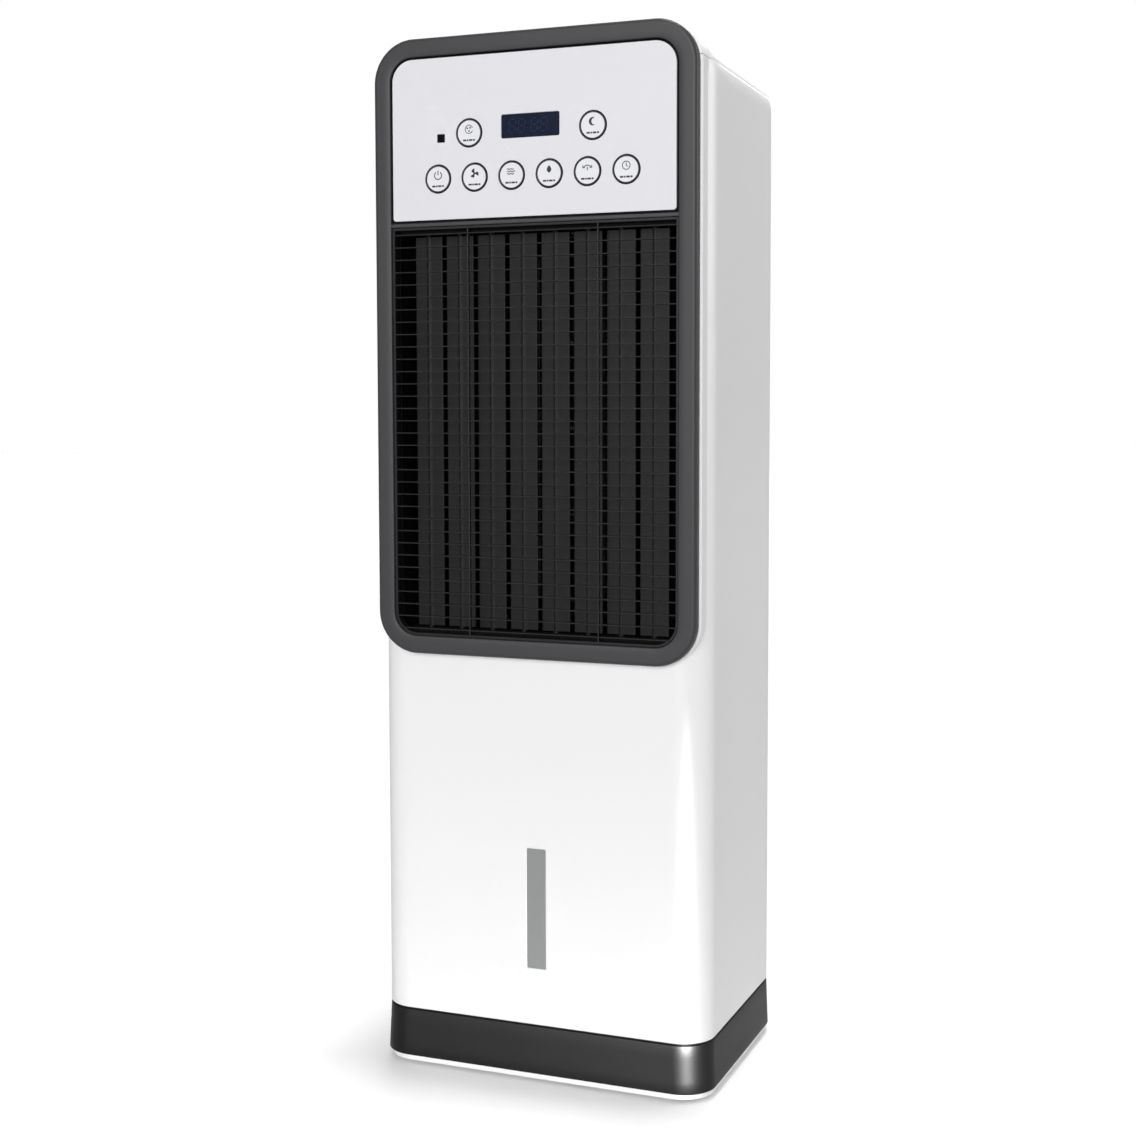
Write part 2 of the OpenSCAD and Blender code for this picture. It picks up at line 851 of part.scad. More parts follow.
module fan_rotor() {
  disc_t = 2.5;
  blade = 8.5;
  discs = 5;
  step = (rotor_top - rotor_z - disc_t) / (discs - 1);
  color(c_black) translate([0, rotor_y, 0]) difference() {
    union() {
      for (i = [0:discs - 1]) translate([0, 0, rotor_z + i * step]) difference() {
        cylinder(h = disc_t, r = rotor_r);
        if (i > 0 && i < discs - 1) translate([0, 0, -1]) cylinder(h = disc_t + 2, r = rotor_r - blade);
      }
      for (i = [0:rotor_blades - 1]) rotate([0, 0, i * 360 / rotor_blades])
        translate([rotor_r - blade / 2 - 0.6, 0, rotor_z]) rotate([0, 0, 28])
          translate([-blade / 2, -0.6, 0]) cube([blade, 1.2, rotor_top - rotor_z]);
      for (z = [rotor_z, rotor_top - 14]) translate([0, 0, z]) cylinder(h = 14, r = 11);
    }
    translate([0, 0, rotor_z - 1]) cylinder(h = rotor_top - rotor_z + 2, r = shaft_r);
  }
}

module fan_shaft() {
  low = scroll_floor_z - 3;
  color(c_steel) translate([0, rotor_y, low]) cylinder(h = motor_z + motor_h + 6 - low, r = shaft_r);
}

module motor_plate() {
  color(c_black) difference() {
    block([-scroll_half, duct_back, scroll_top], [scroll_half, scroll_back, motor_z]);
    translate([0, rotor_y, scroll_top - 1]) cylinder(h = floor_t + 2, r = shaft_r + 3);
  }
}

module fan_motor() {
  color(c_steel) translate([0, rotor_y, motor_z]) difference() {
    union() {
      cylinder(h = motor_h, r = motor_r - 4);
      translate([0, 0, 10]) cylinder(h = motor_h - 20, r = motor_r);
      for (turn = [45:90:315]) rotate([0, 0, turn]) translate([0, -6, 0]) cube([motor_r + 10, 12, 3]);
    }
    translate([0, 0, -1]) cylinder(h = motor_h + 2, r = shaft_r + run);
  }
}

// ---- Wet side ----

module pad_frame() {
  w = 2 * (pad_half + pad_frame_t);
  color(c_white) facing(scroll_back, pad_frame_back) translate([0, (pad_frame_z + pad_frame_top) / 2])
    frame_2d(w, pad_frame_top - pad_frame_z, 3.5, pad_frame_t);
}

module cooling_pad() {
  color(c_pad) facing(pad_y, pad_y + pad_t) translate([0, (pad_z + pad_top) / 2])
    rounded(2 * pad_half, pad_h, 0.5);
}

module water_tray() {
  half = pad_half + pad_frame_t;
  z = pad_frame_top;
  drips = 15;
  color(c_white) difference() {
    block([-half, scroll_back, z], [half, pad_frame_back, z + tray_h]);
    block([-half + 2, scroll_back + 2, z + 2], [half - 2, pad_frame_back - 2, z + tray_h + 1]);
    for (i = [0:drips - 1]) translate([(i - (drips - 1) / 2) * 13, pad_y + pad_t / 2, z - 1])
      cylinder(h = 4, r = 1.5);
  }
}

module riser_pipe() {
  turn_z = deck_z + deck_t + 10;
  end_y = pad_y + pad_t / 2;
  end_x = -pad_half + 10;
  route = [[pump_x, pump_y, spigot_top + 0.8], [pump_x, pump_y, turn_z], [riser_x, pump_y, turn_z],
    [riser_x, pump_y, riser_top], [riser_x, end_y, riser_top], [end_x, end_y, riser_top],
    [end_x, end_y, riser_top - 9]];
  color(c_pipe) difference() {
    pipe(route, pipe_r);
    pipe(route, pipe_r - 1.5);
    translate(route[0] - [0, 0, 1]) cylinder(h = 3, r = pipe_r - 1.5);
    translate(route[6] - [0, 0, 1]) cylinder(h = 3, r = pipe_r - 1.5);
  }
}

// Floor between the tank and the fan: water from the pad runs back through its drain
module mid_deck() {
  color(c_white) difference() {
    plan(wall, deck_z, deck_z + deck_t);
    translate([pump_x, pump_y, deck_z - 1]) cylinder(h = deck_t + 2, r = pipe_r + 0.1);
    translate([40, scroll_back + 12, deck_z - 1]) cylinder(h = deck_t + 2, r = 9);
    for (s = [-1, 1]) {
      edge = s * (strip_in + 6.5);
      block([edge - 6.6, cover_y - wall - 0.1, 0], [edge + 6.6, back_y, big]);
    }
  }
}

module power_board() {
  z = deck_z + deck_t + 16;
  color(c_board) block([-60, inner_y + 7, z], [60, inner_y + 8.6, z + 72]);
  color(c_black) {
    block([-48, inner_y + 8.6, z + 12], [-16, inner_y + 34, z + 44]);
    block([6, inner_y + 8.6, z + 10], [24, inner_y + 24, z + 38]);
    for (x = [34, 48]) rod_y(x, z + 20, inner_y + 8.6, inner_y + 30, 6);
    for (x = [-54, 54], dz = [6, 66]) rod_y(x, z + dz, inner_y, inner_y + 7, 3);
  }
}

module rear_grille() {
  w = 2 * grille_half;
  h = grille_top - grille_z;
  mid = (grille_z + grille_top) / 2;
  rim = 7;
  pitch = 9;
  n = floor((h - 2 * rim) / pitch);
  color(c_white) {
    facing(back_y - grille_d, back_y) translate([0, mid]) frame_2d(w, h, 4, rim);
    for (i = [1:n]) {
      z = mid + (i - (n + 1) / 2) * pitch;
      block([-grille_half + rim - 1, back_y - 5, z - 1], [grille_half - rim + 1, back_y - 1, z + 1]);
    }
    for (x = [-64:32:64])
      block([x - 1.2, back_y - 6, grille_z + 2], [x + 1.2, back_y - 2, grille_top - 2]);
    for (s = [-1, 1]) block([s * 60 - 8, back_y - grille_d - 2, grille_top - 5],
      [s * 60 + 8, back_y - grille_d, grille_top - 2]);
  }
}

module dust_filter() {
  color(c_black) facing(back_y - grille_d - 2.5, back_y - grille_d)
    translate([0, (grille_z + grille_top) / 2])
      rounded(2 * grille_half - 6, grille_top - grille_z - 12, 3);
}

// ---- Tank, pump and what is on them ----

module water_tank() {
  h = tank_back - tank_y;
  mid = (tank_back + tank_y) / 2;
  color(c_clear) difference() {
    translate([0, mid, tank_z]) linear_extrude(tank_h) rounded(2 * tank_half, h, 14);
    translate([0, mid, tank_z + tank_wall]) linear_extrude(tank_h)
      rounded(2 * (tank_half - tank_wall), h - 2 * tank_wall, 14 - tank_wall);
    rod_y(plug_x, plug_z, tank_back - tank_wall - 1, tank_back + 1, plug_shank_r + run);
  }
}

module tank_fascia() {
  h = fascia_top - fascia_z;
  mid = (fascia_top + fascia_z) / 2;
  skirt = 2.5;
  color(c_white) difference() {
    union() {
      facing(back_y - fascia_t, back_y) translate([0, mid]) rounded(2 * fascia_half, h, 4);
      facing(tank_back, back_y - fascia_t) translate([0, mid]) frame_2d(2 * fascia_half, h, 4, skirt);
      rod_y(0, latch_z, back_y - 7, back_y - fascia_t, latch_r + 2.5);
      rod_y(plug_x, plug_z, back_y - 8.5, back_y - fascia_t, plug_r + 3.5);
      block([-grip_half - 2, back_y - 12, grip_z - 2],
        [grip_half + 2, back_y - fascia_t, grip_z + grip_h + 2]);
    }
    rod_y(0, latch_z, back_y - 5, back_y + 1, latch_r + 0.6);
    rod_y(0, latch_z, back_y - 8, back_y, 3 + run);
    rod_y(plug_x, plug_z, back_y - 6.5, back_y + 1, plug_r + 1.5);
    rod_y(plug_x, plug_z, back_y - 10, back_y, plug_shank_r + 0.5);
    facing(back_y - 10, back_y + 1) translate([0, grip_z + grip_h / 2]) rounded(2 * grip_half, grip_h, 8);
    block([-7, back_y - 12, fascia_top - skirt - 1], [latch_reach + 2, back_y - 7.5, fascia_top + 1]);
  }
}

// Turn button: its tongue points sideways when free and up behind the rear cover when locked
module tank_latch() {
  color(c_ring) {
    rod_y(0, latch_z, back_y - 4.8, back_y - 2.6, latch_r);
    block([-latch_r + 1.5, back_y - 2.6, latch_z - 1.8], [latch_r - 1.5, back_y - 0.4, latch_z + 1.8]);
    rod_y(0, latch_z, back_y - 11, back_y - 4.8, 3);
    block([-5, back_y - 11, latch_z - 4.5], [latch_reach, back_y - 8, latch_z + 4.5]);
  }
}

module drain_plug() {
  color(c_ring) {
    rod_y(plug_x, plug_z, back_y - 6.2, back_y - 3.4, plug_r);
    block([plug_x - plug_r + 2, back_y - 3.4, plug_z - 2], [plug_x + plug_r - 2, back_y - 0.6, plug_z + 2]);
    rod_y(plug_x, plug_z, tank_back - tank_wall - 1, back_y - 6.2, plug_shank_r);
  }
}

module pump_body() {
  front = pump_y - pump_d / 2;
  color(c_black) difference() {
    union() {
      block([pump_x - pump_w / 2, front, pump_z], [pump_x + pump_w / 2, front + pump_d, pump_z + pump_h]);
      translate([pump_x, pump_y, pump_z + pump_h - 1])
        cylinder(h = spigot_top - pump_z - pump_h + 1, r = pipe_r);
    }
    rod_y(pump_x, impeller_z, front - 1, front + 12, 14);
    rod_y(pump_x, impeller_z, front + 11, front + 20, 1.5 + run);
    translate([pump_x, pump_y, impeller_z + 20]) cylinder(h = big, r = pipe_r - 1.5);
  }
}

module pump_impeller() {
  front = pump_y - pump_d / 2;
  color(c_white) {
    rod_y(pump_x, impeller_z, front + 8.5, front + 11, 12);
    rod_y(pump_x, impeller_z, front + 3, front + 19.5, 1.5);
    for (i = [0:5]) translate([pump_x, 0, impeller_z]) rotate([0, i * 60, 0])
      block([1, front + 3, -0.8], [11.5, front + 8.5, 0.8]);
  }
}

module level_window() {
  mid = window_z + window_h / 2;
  color(c_window) {
    facing(front_y + 0.2, inner_y) translate([0, mid]) rounded(window_w - 0.2, window_h - 0.2, 0.9);
    facing(inner_y, inner_y + 2) translate([0, mid]) rounded(window_w + 8, window_h + 8, 3);
  }
}

// ---- Base ----

// One thin slice of the band's outline, for its flare
module band_slice(grow, z, inset) {
  translate([0, mid_y, z]) linear_extrude(0.1)
    rounded(body_w + 2 * grow - 2 * inset, body_d + 2 * grow - 2 * inset, corner_r + grow - inset);
}

module base_band() {
  lip = wall + 0.2;
  grow = min(band_flare, bezel_proud);
  color(c_band) {
    difference() {
      intersection() {
        hull() {
          band_slice(grow, band_z, 0);
          band_slice(0, band_top - 0.1, 0);
        }
        block([-big, -big, band_z], [big, back_y, band_top]);
      }
      plan(wall, band_z - 1, band_top + 1);
    }
    difference() {
      plan(lip, band_top - 6, band_top + 8);
      plan(lip + 2, band_top - 7, band_top + 9);
      block([-strip_in - 14, tank_back - 6, 0], [strip_in + 14, big, big]);
    }
    difference() {
      plan(wall - 0.3, band_top - 6, band_top - 3);
      plan(lip + 1, band_top - 7, band_top);
      block([-strip_in - 14, tank_back - 6, 0], [strip_in + 14, big, big]);
    }
  }
}

module base_plate() {
  color(c_white) difference() {
    union() {
      plan(0.4, plate_z, band_z);
      for (s = [-1, 1]) translate([s * (tank_half - 16), 0, 0])
        block([-3, tank_y, band_z - 1], [3, tank_back, tank_z]);
    }
    foot_places() translate([0, 0, plate_z - 1]) cylinder(h = 4, r = stud_r + 0.1);
  }
}

module foot_places() {
  for (sx = [-1, 1], sy = [-1, 1]) translate([sx * foot_x, mid_y + sy * foot_y, 0]) children();
}

module feet() {
  color(c_black) foot_places() {
    cylinder(h = foot_h, r = foot_r);
    cylinder(h = foot_h + 2.8, r = stud_r);
  }
}

module cord_gland() {
  color(c_black) difference() {
    union() {
      rod_y(gland_x, gland_z, cover_y, back_y, gland_r);
      rod_y(gland_x, gland_z, cover_y - 14, cover_y, gland_r - 2);
    }
    rod_y(gland_x, gland_z, cover_y - 15, back_y + 1, gland_bore_r);
  }
}

main_shell();
top_cover();
rear_cover();
front_bezel();
control_panel();
panel_housing();
display_lens();
display_module();
ir_window();
control_board();
tact_switches();
button(0);  // button_power
button(1);  // button_speed
button(2);  // button_wind
button(3);  // button_cooling
button(4);  // button_swing
button(5);  // button_timer
button(6);  // button_ioniser
button(7);  // button_sleep
outlet_grille();
outlet_duct();
louvre(1);  // louvre_1
louvre(2);  // louvre_2
louvre(3);  // louvre_3
louvre(4);  // louvre_4
louvre(5);  // louvre_5
louvre(6);  // louvre_6
louvre(7);  // louvre_7
louvre(8);  // louvre_8
link_bar();
swing_crank();
swing_motor();
fan_scroll();
fan_bush();
fan_rotor();
fan_shaft();
motor_plate();
fan_motor();
pad_frame();
cooling_pad();
water_tray();
riser_pipe();
mid_deck();
power_board();
rear_grille();
dust_filter();
water_tank();
tank_fascia();
tank_latch();
drain_plug();
pump_body();
pump_impeller();
level_window();
base_band();
base_plate();
feet();
cord_gland();
case_screws();
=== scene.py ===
"""Looks of a slim tower evaporative cooler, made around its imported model.

Everything is in metres: +Z is up, -Y is the front, and the floor is z = 0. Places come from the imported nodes'
boxes.
"""
import json
import math

import bmesh
import bpy
from mathutils import Matrix, Vector


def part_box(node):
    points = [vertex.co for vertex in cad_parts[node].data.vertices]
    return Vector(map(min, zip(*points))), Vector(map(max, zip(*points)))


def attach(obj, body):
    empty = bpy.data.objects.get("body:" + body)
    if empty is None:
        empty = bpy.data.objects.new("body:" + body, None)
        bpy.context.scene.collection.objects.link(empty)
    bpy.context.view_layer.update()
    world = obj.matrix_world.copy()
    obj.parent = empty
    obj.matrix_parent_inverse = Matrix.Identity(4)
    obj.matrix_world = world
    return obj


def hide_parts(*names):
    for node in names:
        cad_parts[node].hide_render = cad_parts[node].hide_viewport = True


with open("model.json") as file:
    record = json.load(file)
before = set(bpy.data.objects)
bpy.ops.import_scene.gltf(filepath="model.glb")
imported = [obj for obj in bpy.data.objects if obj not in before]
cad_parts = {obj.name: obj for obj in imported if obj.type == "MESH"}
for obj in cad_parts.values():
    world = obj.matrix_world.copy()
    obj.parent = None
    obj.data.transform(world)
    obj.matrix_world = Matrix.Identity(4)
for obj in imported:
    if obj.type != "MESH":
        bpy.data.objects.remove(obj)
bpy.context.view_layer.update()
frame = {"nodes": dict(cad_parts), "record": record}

MM = 0.001
ROOM_LIGHT = 0.2
KEY_LIGHT = 2.2
TOP_LIGHT = 1.6
BACK_LIGHT = 0.9
SIDE_BOX = 8.4
LOW_STRIP = 15
FLOOR_GLOW = 0.06
FLOOR_BOUNCE = 0.5
FLOOR_TONE = 0.97
NODES = frame["nodes"]
BODY_OF = {node: body for body, nodes in frame["record"]["behaviour"]["bodies"].items() for node in nodes}


# ---------------------------------------------------------------- camera, floor and light

def linked(name, data):
    """Makes an object of some data and puts it in the scene."""
    made = bpy.data.objects.new(name, data)
    bpy.context.scene.collection.objects.link(made)
    return made


def make_camera():
    """Stands to the right of the front and looks slightly down, level but for a small roll."""
    yaw, pitch, roll = math.radians(21.77), math.radians(4.04), math.radians(-0.12)
    ahead = Vector((-math.sin(yaw) * math.cos(pitch), math.cos(yaw) * math.cos(pitch), -math.sin(pitch)))
    level = Vector((math.cos(yaw), math.sin(yaw), 0))
    upright = level.cross(ahead)
    right = math.cos(roll) * level + math.sin(roll) * upright
    up = math.cos(roll) * upright - math.sin(roll) * level
    data = bpy.data.cameras.new("camera")
    data.sensor_width = 36
    data.lens = 55.86
    data.shift_y = -0.0396
    data.clip_start, data.clip_end = 0.05, 60
    camera = linked("camera", data)
    turn = Matrix((right, up, -ahead)).transposed().to_4x4()
    camera.matrix_world = Matrix.Translation((0.5568, -1.4225, 0.5693)) @ turn
    bpy.context.scene.camera = camera


def area_light(name, place, target, size, power, glossy_only=False):
    """Rectangular lamp that faces a target. A glossy_only one is narrow and shows in reflections alone."""
    data = bpy.data.lights.new(name, "AREA")
    data.shape = "RECTANGLE"
    data.size, data.size_y = size
    data.energy = power
    lamp = linked(name, data)
    lamp.location = place
    lamp.rotation_mode = "QUATERNION"
    lamp.rotation_quaternion = (Vector(target) - Vector(place)).to_track_quat("-Z", "Y")
    lamp.visible_diffuse = not glossy_only
    if glossy_only:
        data.spread = math.radians(34)


def sun_light(name, towards, strength, width):
    """Even light from far away. towards is where it comes from; width is how soft it is, in degrees."""
    data = bpy.data.lights.new(name, "SUN")
    data.energy = strength
    data.angle = math.radians(width)
    lamp = linked(name, data)
    lamp.rotation_mode = "QUATERNION"
    lamp.rotation_quaternion = Vector(towards).to_track_quat("Z", "Y")


def make_lights():
    """A dim pale room, soft light from the front, the back, above and the right, and a low strip that edges
    the band's right corner."""
    world = bpy.data.worlds.new("pale_room")
    world.use_nodes = True
    bpy.context.scene.world = world
    tree = world.node_tree
    tree.nodes.clear()
    around = put(tree, "ShaderNodeBackground", {"Color": (1, 1, 1, 1), "Strength": ROOM_LIGHT})
    seen = put(tree, "ShaderNodeBackground", {"Color": (1, 1, 1, 1), "Strength": 1.0})
    path = put(tree, "ShaderNodeLightPath")
    mix = put(tree, "ShaderNodeMixShader", {0: path.outputs["Is Camera Ray"], 1: around.outputs[0],
                                            2: seen.outputs[0]})
    put(tree, "ShaderNodeOutputWorld", {"Surface": mix.outputs[0]})
    sun_light("key_light", (0.04, -0.97, 0.24), KEY_LIGHT, 40)
    sun_light("back_light", (-0.3, 1.0, 0.4), BACK_LIGHT, 40)
    sun_light("top_light", (0.02, 0.06, 1.0), TOP_LIGHT, 10)
    area_light("side_box", (1.45, 0.45, 1.15), (0.15, 0, 0.7), (0.9, 0.9), SIDE_BOX)
    area_light("low_strip", (0.50, -0.72, 0.15), (0.13, -0.09, 0.03), (0.8, 0.2), LOW_STRIP, glossy_only=True)


def make_floor():
    """A wide pale floor that glows a little, so that only the contact shadow shows on it."""
    half = 14
    corners = [(-half, -half, 0), (half, -half, 0), (half, half, 0), (-half, half, 0)]
    mesh = bpy.data.meshes.new("floor")
    mesh.from_pydata(corners, [], [(0, 1, 2, 3)])
    floor = linked("floor", mesh)
    material = bpy.data.materials.new("pale_floor")
    material.use_nodes = True
    tree = material.node_tree
    shader = tree.nodes["Principled BSDF"]
    shader.inputs["Roughness"].default_value = 0.8
    shader.inputs["Specular IOR Level"].default_value = 0.1
    shader.inputs["Emission Color"].default_value = (1, 1, 1, 1)
    seen = put(tree, "ShaderNodeLightPath").outputs["Is Camera Ray"]
    tree.links.new(calc(tree, "MULTIPLY", seen, FLOOR_GLOW), shader.inputs["Emission Strength"])
    bounce, tone = (FLOOR_BOUNCE,) * 3 + (1,), (FLOOR_TONE,) * 3 + (1,)
    tree.links.new(mixed(tree, "MIX", seen, bounce, tone), shader.inputs["Base Color"])
    mesh.materials.append(material)


# ---------------------------------------------------------------- node trees

def put(tree, kind, inputs=None, **settings):
    """Adds a node, sets its properties, and sets or links its inputs by name or number."""
    made = tree.nodes.new(kind)
    for key, value in settings.items():
        setattr(made, key, value)
    for key, value in (inputs or {}).items():
        if isinstance(value, bpy.types.NodeSocket):
            tree.links.new(value, made.inputs[key])
        else:
            made.inputs[key].default_value = value
    return made


def calc(tree, operation, *values, clamp=False):
    """Adds a Math node and gives back its result."""
    inputs = dict(enumerate(values))
    return put(tree, "ShaderNodeMath", inputs, operation=operation, use_clamp=clamp).outputs[0]


def new_group(name, kind, inputs, outputs):
    """Makes a node group with named inputs and outputs, and gives back its tree and its two ends."""
    tree = bpy.data.node_groups.new(name, kind)
    for label, socket, value in inputs:
        made = tree.interface.new_socket(label, in_out="INPUT", socket_type=socket)
        if value is not None:
            made.default_value = value
    for label, socket in outputs:
        tree.interface.new_socket(label, in_out="OUTPUT", socket_type=socket)
    return tree, tree.nodes.new("NodeGroupInput"), tree.nodes.new("NodeGroupOutput")


FLOAT, COLOUR, VECTOR = "NodeSocketFloat", "NodeSocketColor", "NodeSocketVector"
GEOMETRY, WHOLE, LENGTH = "NodeSocketGeometry", "NodeSocketInt", "NodeSocketFloat"


def object_place(tree):
    """Place on the piece itself, so that a pattern moves with it."""
    return put(tree, "ShaderNodeTexCoord").outputs["Object"]


def mixed(tree, kind, factor, first, second):
    """Mixes two colours and gives back the result."""
    blend = put(tree, "ShaderNodeMix", data_type="RGBA", blend_type=kind)
    for number, value in ((0, factor), (6, first), (7, second)):
        if isinstance(value, bpy.types.NodeSocket):
            tree.links.new(value, blend.inputs[number])
        else:
            blend.inputs[number].default_value = value
    return blend.outputs[2]


def grain_group():
    """Height of a spark-eroded mould surface: fine pits on slower waves."""
    tree, start, end = new_group("moulded_grain", "ShaderNodeTree",
                                 [("Scale", FLOAT, 900.0), ("Waviness", FLOAT, 0.3)], [("Height", FLOAT)])
    place = object_place(tree)
    pits = put(tree, "ShaderNodeTexNoise", {"Vector": place, "Scale": start.outputs["Scale"], "Detail": 3.0,
                                            "Roughness": 0.62})
    slow_scale = calc(tree, "MULTIPLY", start.outputs["Scale"], 0.06)
    slow = put(tree, "ShaderNodeTexNoise", {"Vector": place, "Scale": slow_scale, "Detail": 1.0})
    waves = calc(tree, "MULTIPLY", slow.outputs["Fac"], start.outputs["Waviness"])
    tree.links.new(calc(tree, "ADD", pits.outputs["Fac"], waves), end.inputs["Height"])
    return tree


def drift_group():
    """Slow change of tone across a moulding, with a trace of finer mottle."""
    tree, start, end = new_group("tone_drift", "ShaderNodeTree",
                                 [("Color", COLOUR, None), ("Scale", FLOAT, 9.0), ("Amount", FLOAT, 0.03)],
                                 [("Color", COLOUR)])
    place = object_place(tree)
    slow = put(tree, "ShaderNodeTexNoise", {"Vector": place, "Scale": start.outputs["Scale"], "Detail": 2.0})
    fine_scale = calc(tree, "MULTIPLY", start.outputs["Scale"], 40.0)
    fine = put(tree, "ShaderNodeTexNoise", {"Vector": place, "Scale": fine_scale, "Detail": 2.0})
    both = calc(tree, "ADD", slow.outputs["Fac"], calc(tree, "MULTIPLY", fine.outputs["Fac"], 0.35))
    shift = calc(tree, "MULTIPLY", calc(tree, "SUBTRACT", both, 0.68), start.outputs["Amount"])
    level = calc(tree, "ADD", shift, 1.0)
    scaled = put(tree, "ShaderNodeVectorMath", {0: start.outputs["Color"], "Scale": level}, operation="SCALE")
    tree.links.new(scaled.outputs[0], end.inputs["Color"])
    return tree


def handling_group():
    """Gloss that varies where hands and cloths have been: broad smears and fine wiping lines."""
    tree, start, end = new_group("handling", "ShaderNodeTree",
                                 [("Roughness", FLOAT, 0.35), ("Spread", FLOAT, 0.08),
                                  ("Scale", FLOAT, 14.0)], [("Roughness", FLOAT)])
    place = object_place(tree)
    smears = put(tree, "ShaderNodeTexNoise", {"Vector": place, "Scale": start.outputs["Scale"], "Detail": 4.0,
                                              "Distortion": 0.6})
    stretch = put(tree, "ShaderNodeMapping", {"Vector": place, "Scale": (1.0, 1.0, 14.0),
                                              "Rotation": (0.3, 0.9, 0.2)})
    line_scale = calc(tree, "MULTIPLY", start.outputs["Scale"], 6.0)
    lines = put(tree, "ShaderNodeTexNoise", {"Vector": stretch.outputs[0], "Scale": line_scale,
                                             "Detail": 2.0})
    both = calc(tree, "ADD", smears.outputs["Fac"], calc(tree, "MULTIPLY", lines.outputs["Fac"], 0.5))
    shift = calc(tree, "MULTIPLY", calc(tree, "SUBTRACT", both, 0.75), start.outputs["Spread"])
    rough = calc(tree, "ADD", start.outputs["Roughness"], shift, clamp=True)
    tree.links.new(rough, end.inputs["Roughness"])
    return tree


def wear_group():
    """Edges rubbed towards a second colour, broken up so that the rubbing is patchy."""
    tree, start, end = new_group("rubbed_edges", "ShaderNodeTree",
                                 [("Color", COLOUR, None), ("Rubbed", COLOUR, None), ("Amount", FLOAT, 0.2)],
                                 [("Color", COLOUR), ("Mask", FLOAT)])
    bend = put(tree, "ShaderNodeNewGeometry").outputs["Pointiness"]
    edge = put(tree, "ShaderNodeMapRange", {"Value": bend, "From Min": 0.52, "From Max": 0.62})
    patches = put(tree, "ShaderNodeTexNoise", {"Vector": object_place(tree), "Scale": 130.0, "Detail": 3.0})
    broken = put(tree, "ShaderNodeMapRange", {"Value": patches.outputs["Fac"], "From Min": 0.4,
                                              "From Max": 0.65})
    mask = calc(tree, "MULTIPLY", edge.outputs[0], broken.outputs[0])
    mask = calc(tree, "MULTIPLY", mask, start.outputs["Amount"], clamp=True)
    tree.links.new(mixed(tree, "MIX", mask, start.outputs["Color"], start.outputs["Rubbed"]),
                   end.inputs["Color"])
    tree.links.new(mask, end.inputs["Mask"])
    return tree


def dust_group():
    """Fine dust that has settled on what faces up."""
    tree, start, end = new_group("settled_dust", "ShaderNodeTree",
                                 [("Color", COLOUR, None), ("Dust", COLOUR, None), ("Amount", FLOAT, 0.1)],
                                 [("Color", COLOUR), ("Mask", FLOAT)])
    normal = put(tree, "ShaderNodeNewGeometry").outputs["Normal"]
    up = put(tree, "ShaderNodeSeparateXYZ", {0: normal}).outputs["Z"]
    flat = put(tree, "ShaderNodeMapRange", {"Value": up, "From Min": 0.35, "From Max": 1.0})
    specks = put(tree, "ShaderNodeTexNoise", {"Vector": object_place(tree), "Scale": 420.0, "Detail": 4.0,
                                              "Roughness": 0.7})
    mask = calc(tree, "MULTIPLY", flat.outputs[0], specks.outputs["Fac"])
    mask = calc(tree, "MULTIPLY", mask, start.outputs["Amount"], clamp=True)
    tree.links.new(mixed(tree, "MIX", mask, start.outputs["Color"], start.outputs["Dust"]),
                   end.inputs["Color"])
    tree.links.new(mask, end.inputs["Mask"])
    return tree


GRAIN, DRIFT, HANDLING, WEAR, DUST = (make() for make in (grain_group, drift_group, handling_group,
                                                          wear_group, dust_group))


def grouped(tree, group, inputs):
    """Places a shader group in a material."""
    return put(tree, "ShaderNodeGroup", inputs, node_tree=group)


# ---------------------------------------------------------------- materials

DUST_GREY = (0.46, 0.44, 0.41, 1)


def surface(name, colour, roughness, *, rubbed=None, rub=0.25, drift=0.04, drift_scale=9.0, spread=0.08,
            grain=900.0, depth=0.012, waviness=0.3, dust=0.06, **sockets):
    """A moulded, painted or plated finish: tone, handling, edges, dust and grain, each with its own values.

    depth is the height of the grain in millimetres. Other names are the shader's own sockets.
    """
    material = bpy.data.materials.new(name)
    material.use_nodes = True
    tree = material.node_tree
    shader = tree.nodes["Principled BSDF"]
    base = (*colour, 1)
    lighter = (*rubbed, 1) if rubbed else tuple(min(1.0, c * 1.35 + 0.01) for c in colour) + (1,)
    toned = grouped(tree, DRIFT, {"Color": base, "Scale": drift_scale, "Amount": drift})
    edged = grouped(tree, WEAR, {"Color": toned.outputs["Color"], "Rubbed": lighter, "Amount": rub})
    dusty = grouped(tree, DUST, {"Color": edged.outputs["Color"], "Dust": DUST_GREY, "Amount": dust})
    handled = grouped(tree, HANDLING, {"Roughness": roughness, "Spread": spread})
    matt = calc(tree, "ADD", handled.outputs["Roughness"],
                calc(tree, "MULTIPLY", dusty.outputs["Mask"], 0.6), clamp=True)
    tree.links.new(dusty.outputs["Color"], shader.inputs["Base Color"])
    tree.links.new(matt, shader.inputs["Roughness"])
    height = grouped(tree, GRAIN, {"Scale": grain, "Waviness": waviness})
    bump = put(tree, "ShaderNodeBump", {"Height": height.outputs["Height"], "Distance": depth * MM,
                                        "Strength": 1.0})
    tree.links.new(bump.outputs["Normal"], shader.inputs["Normal"])
    for label, value in sockets.items():
        shader.inputs[label.replace("_", " ")].default_value = value
    return material


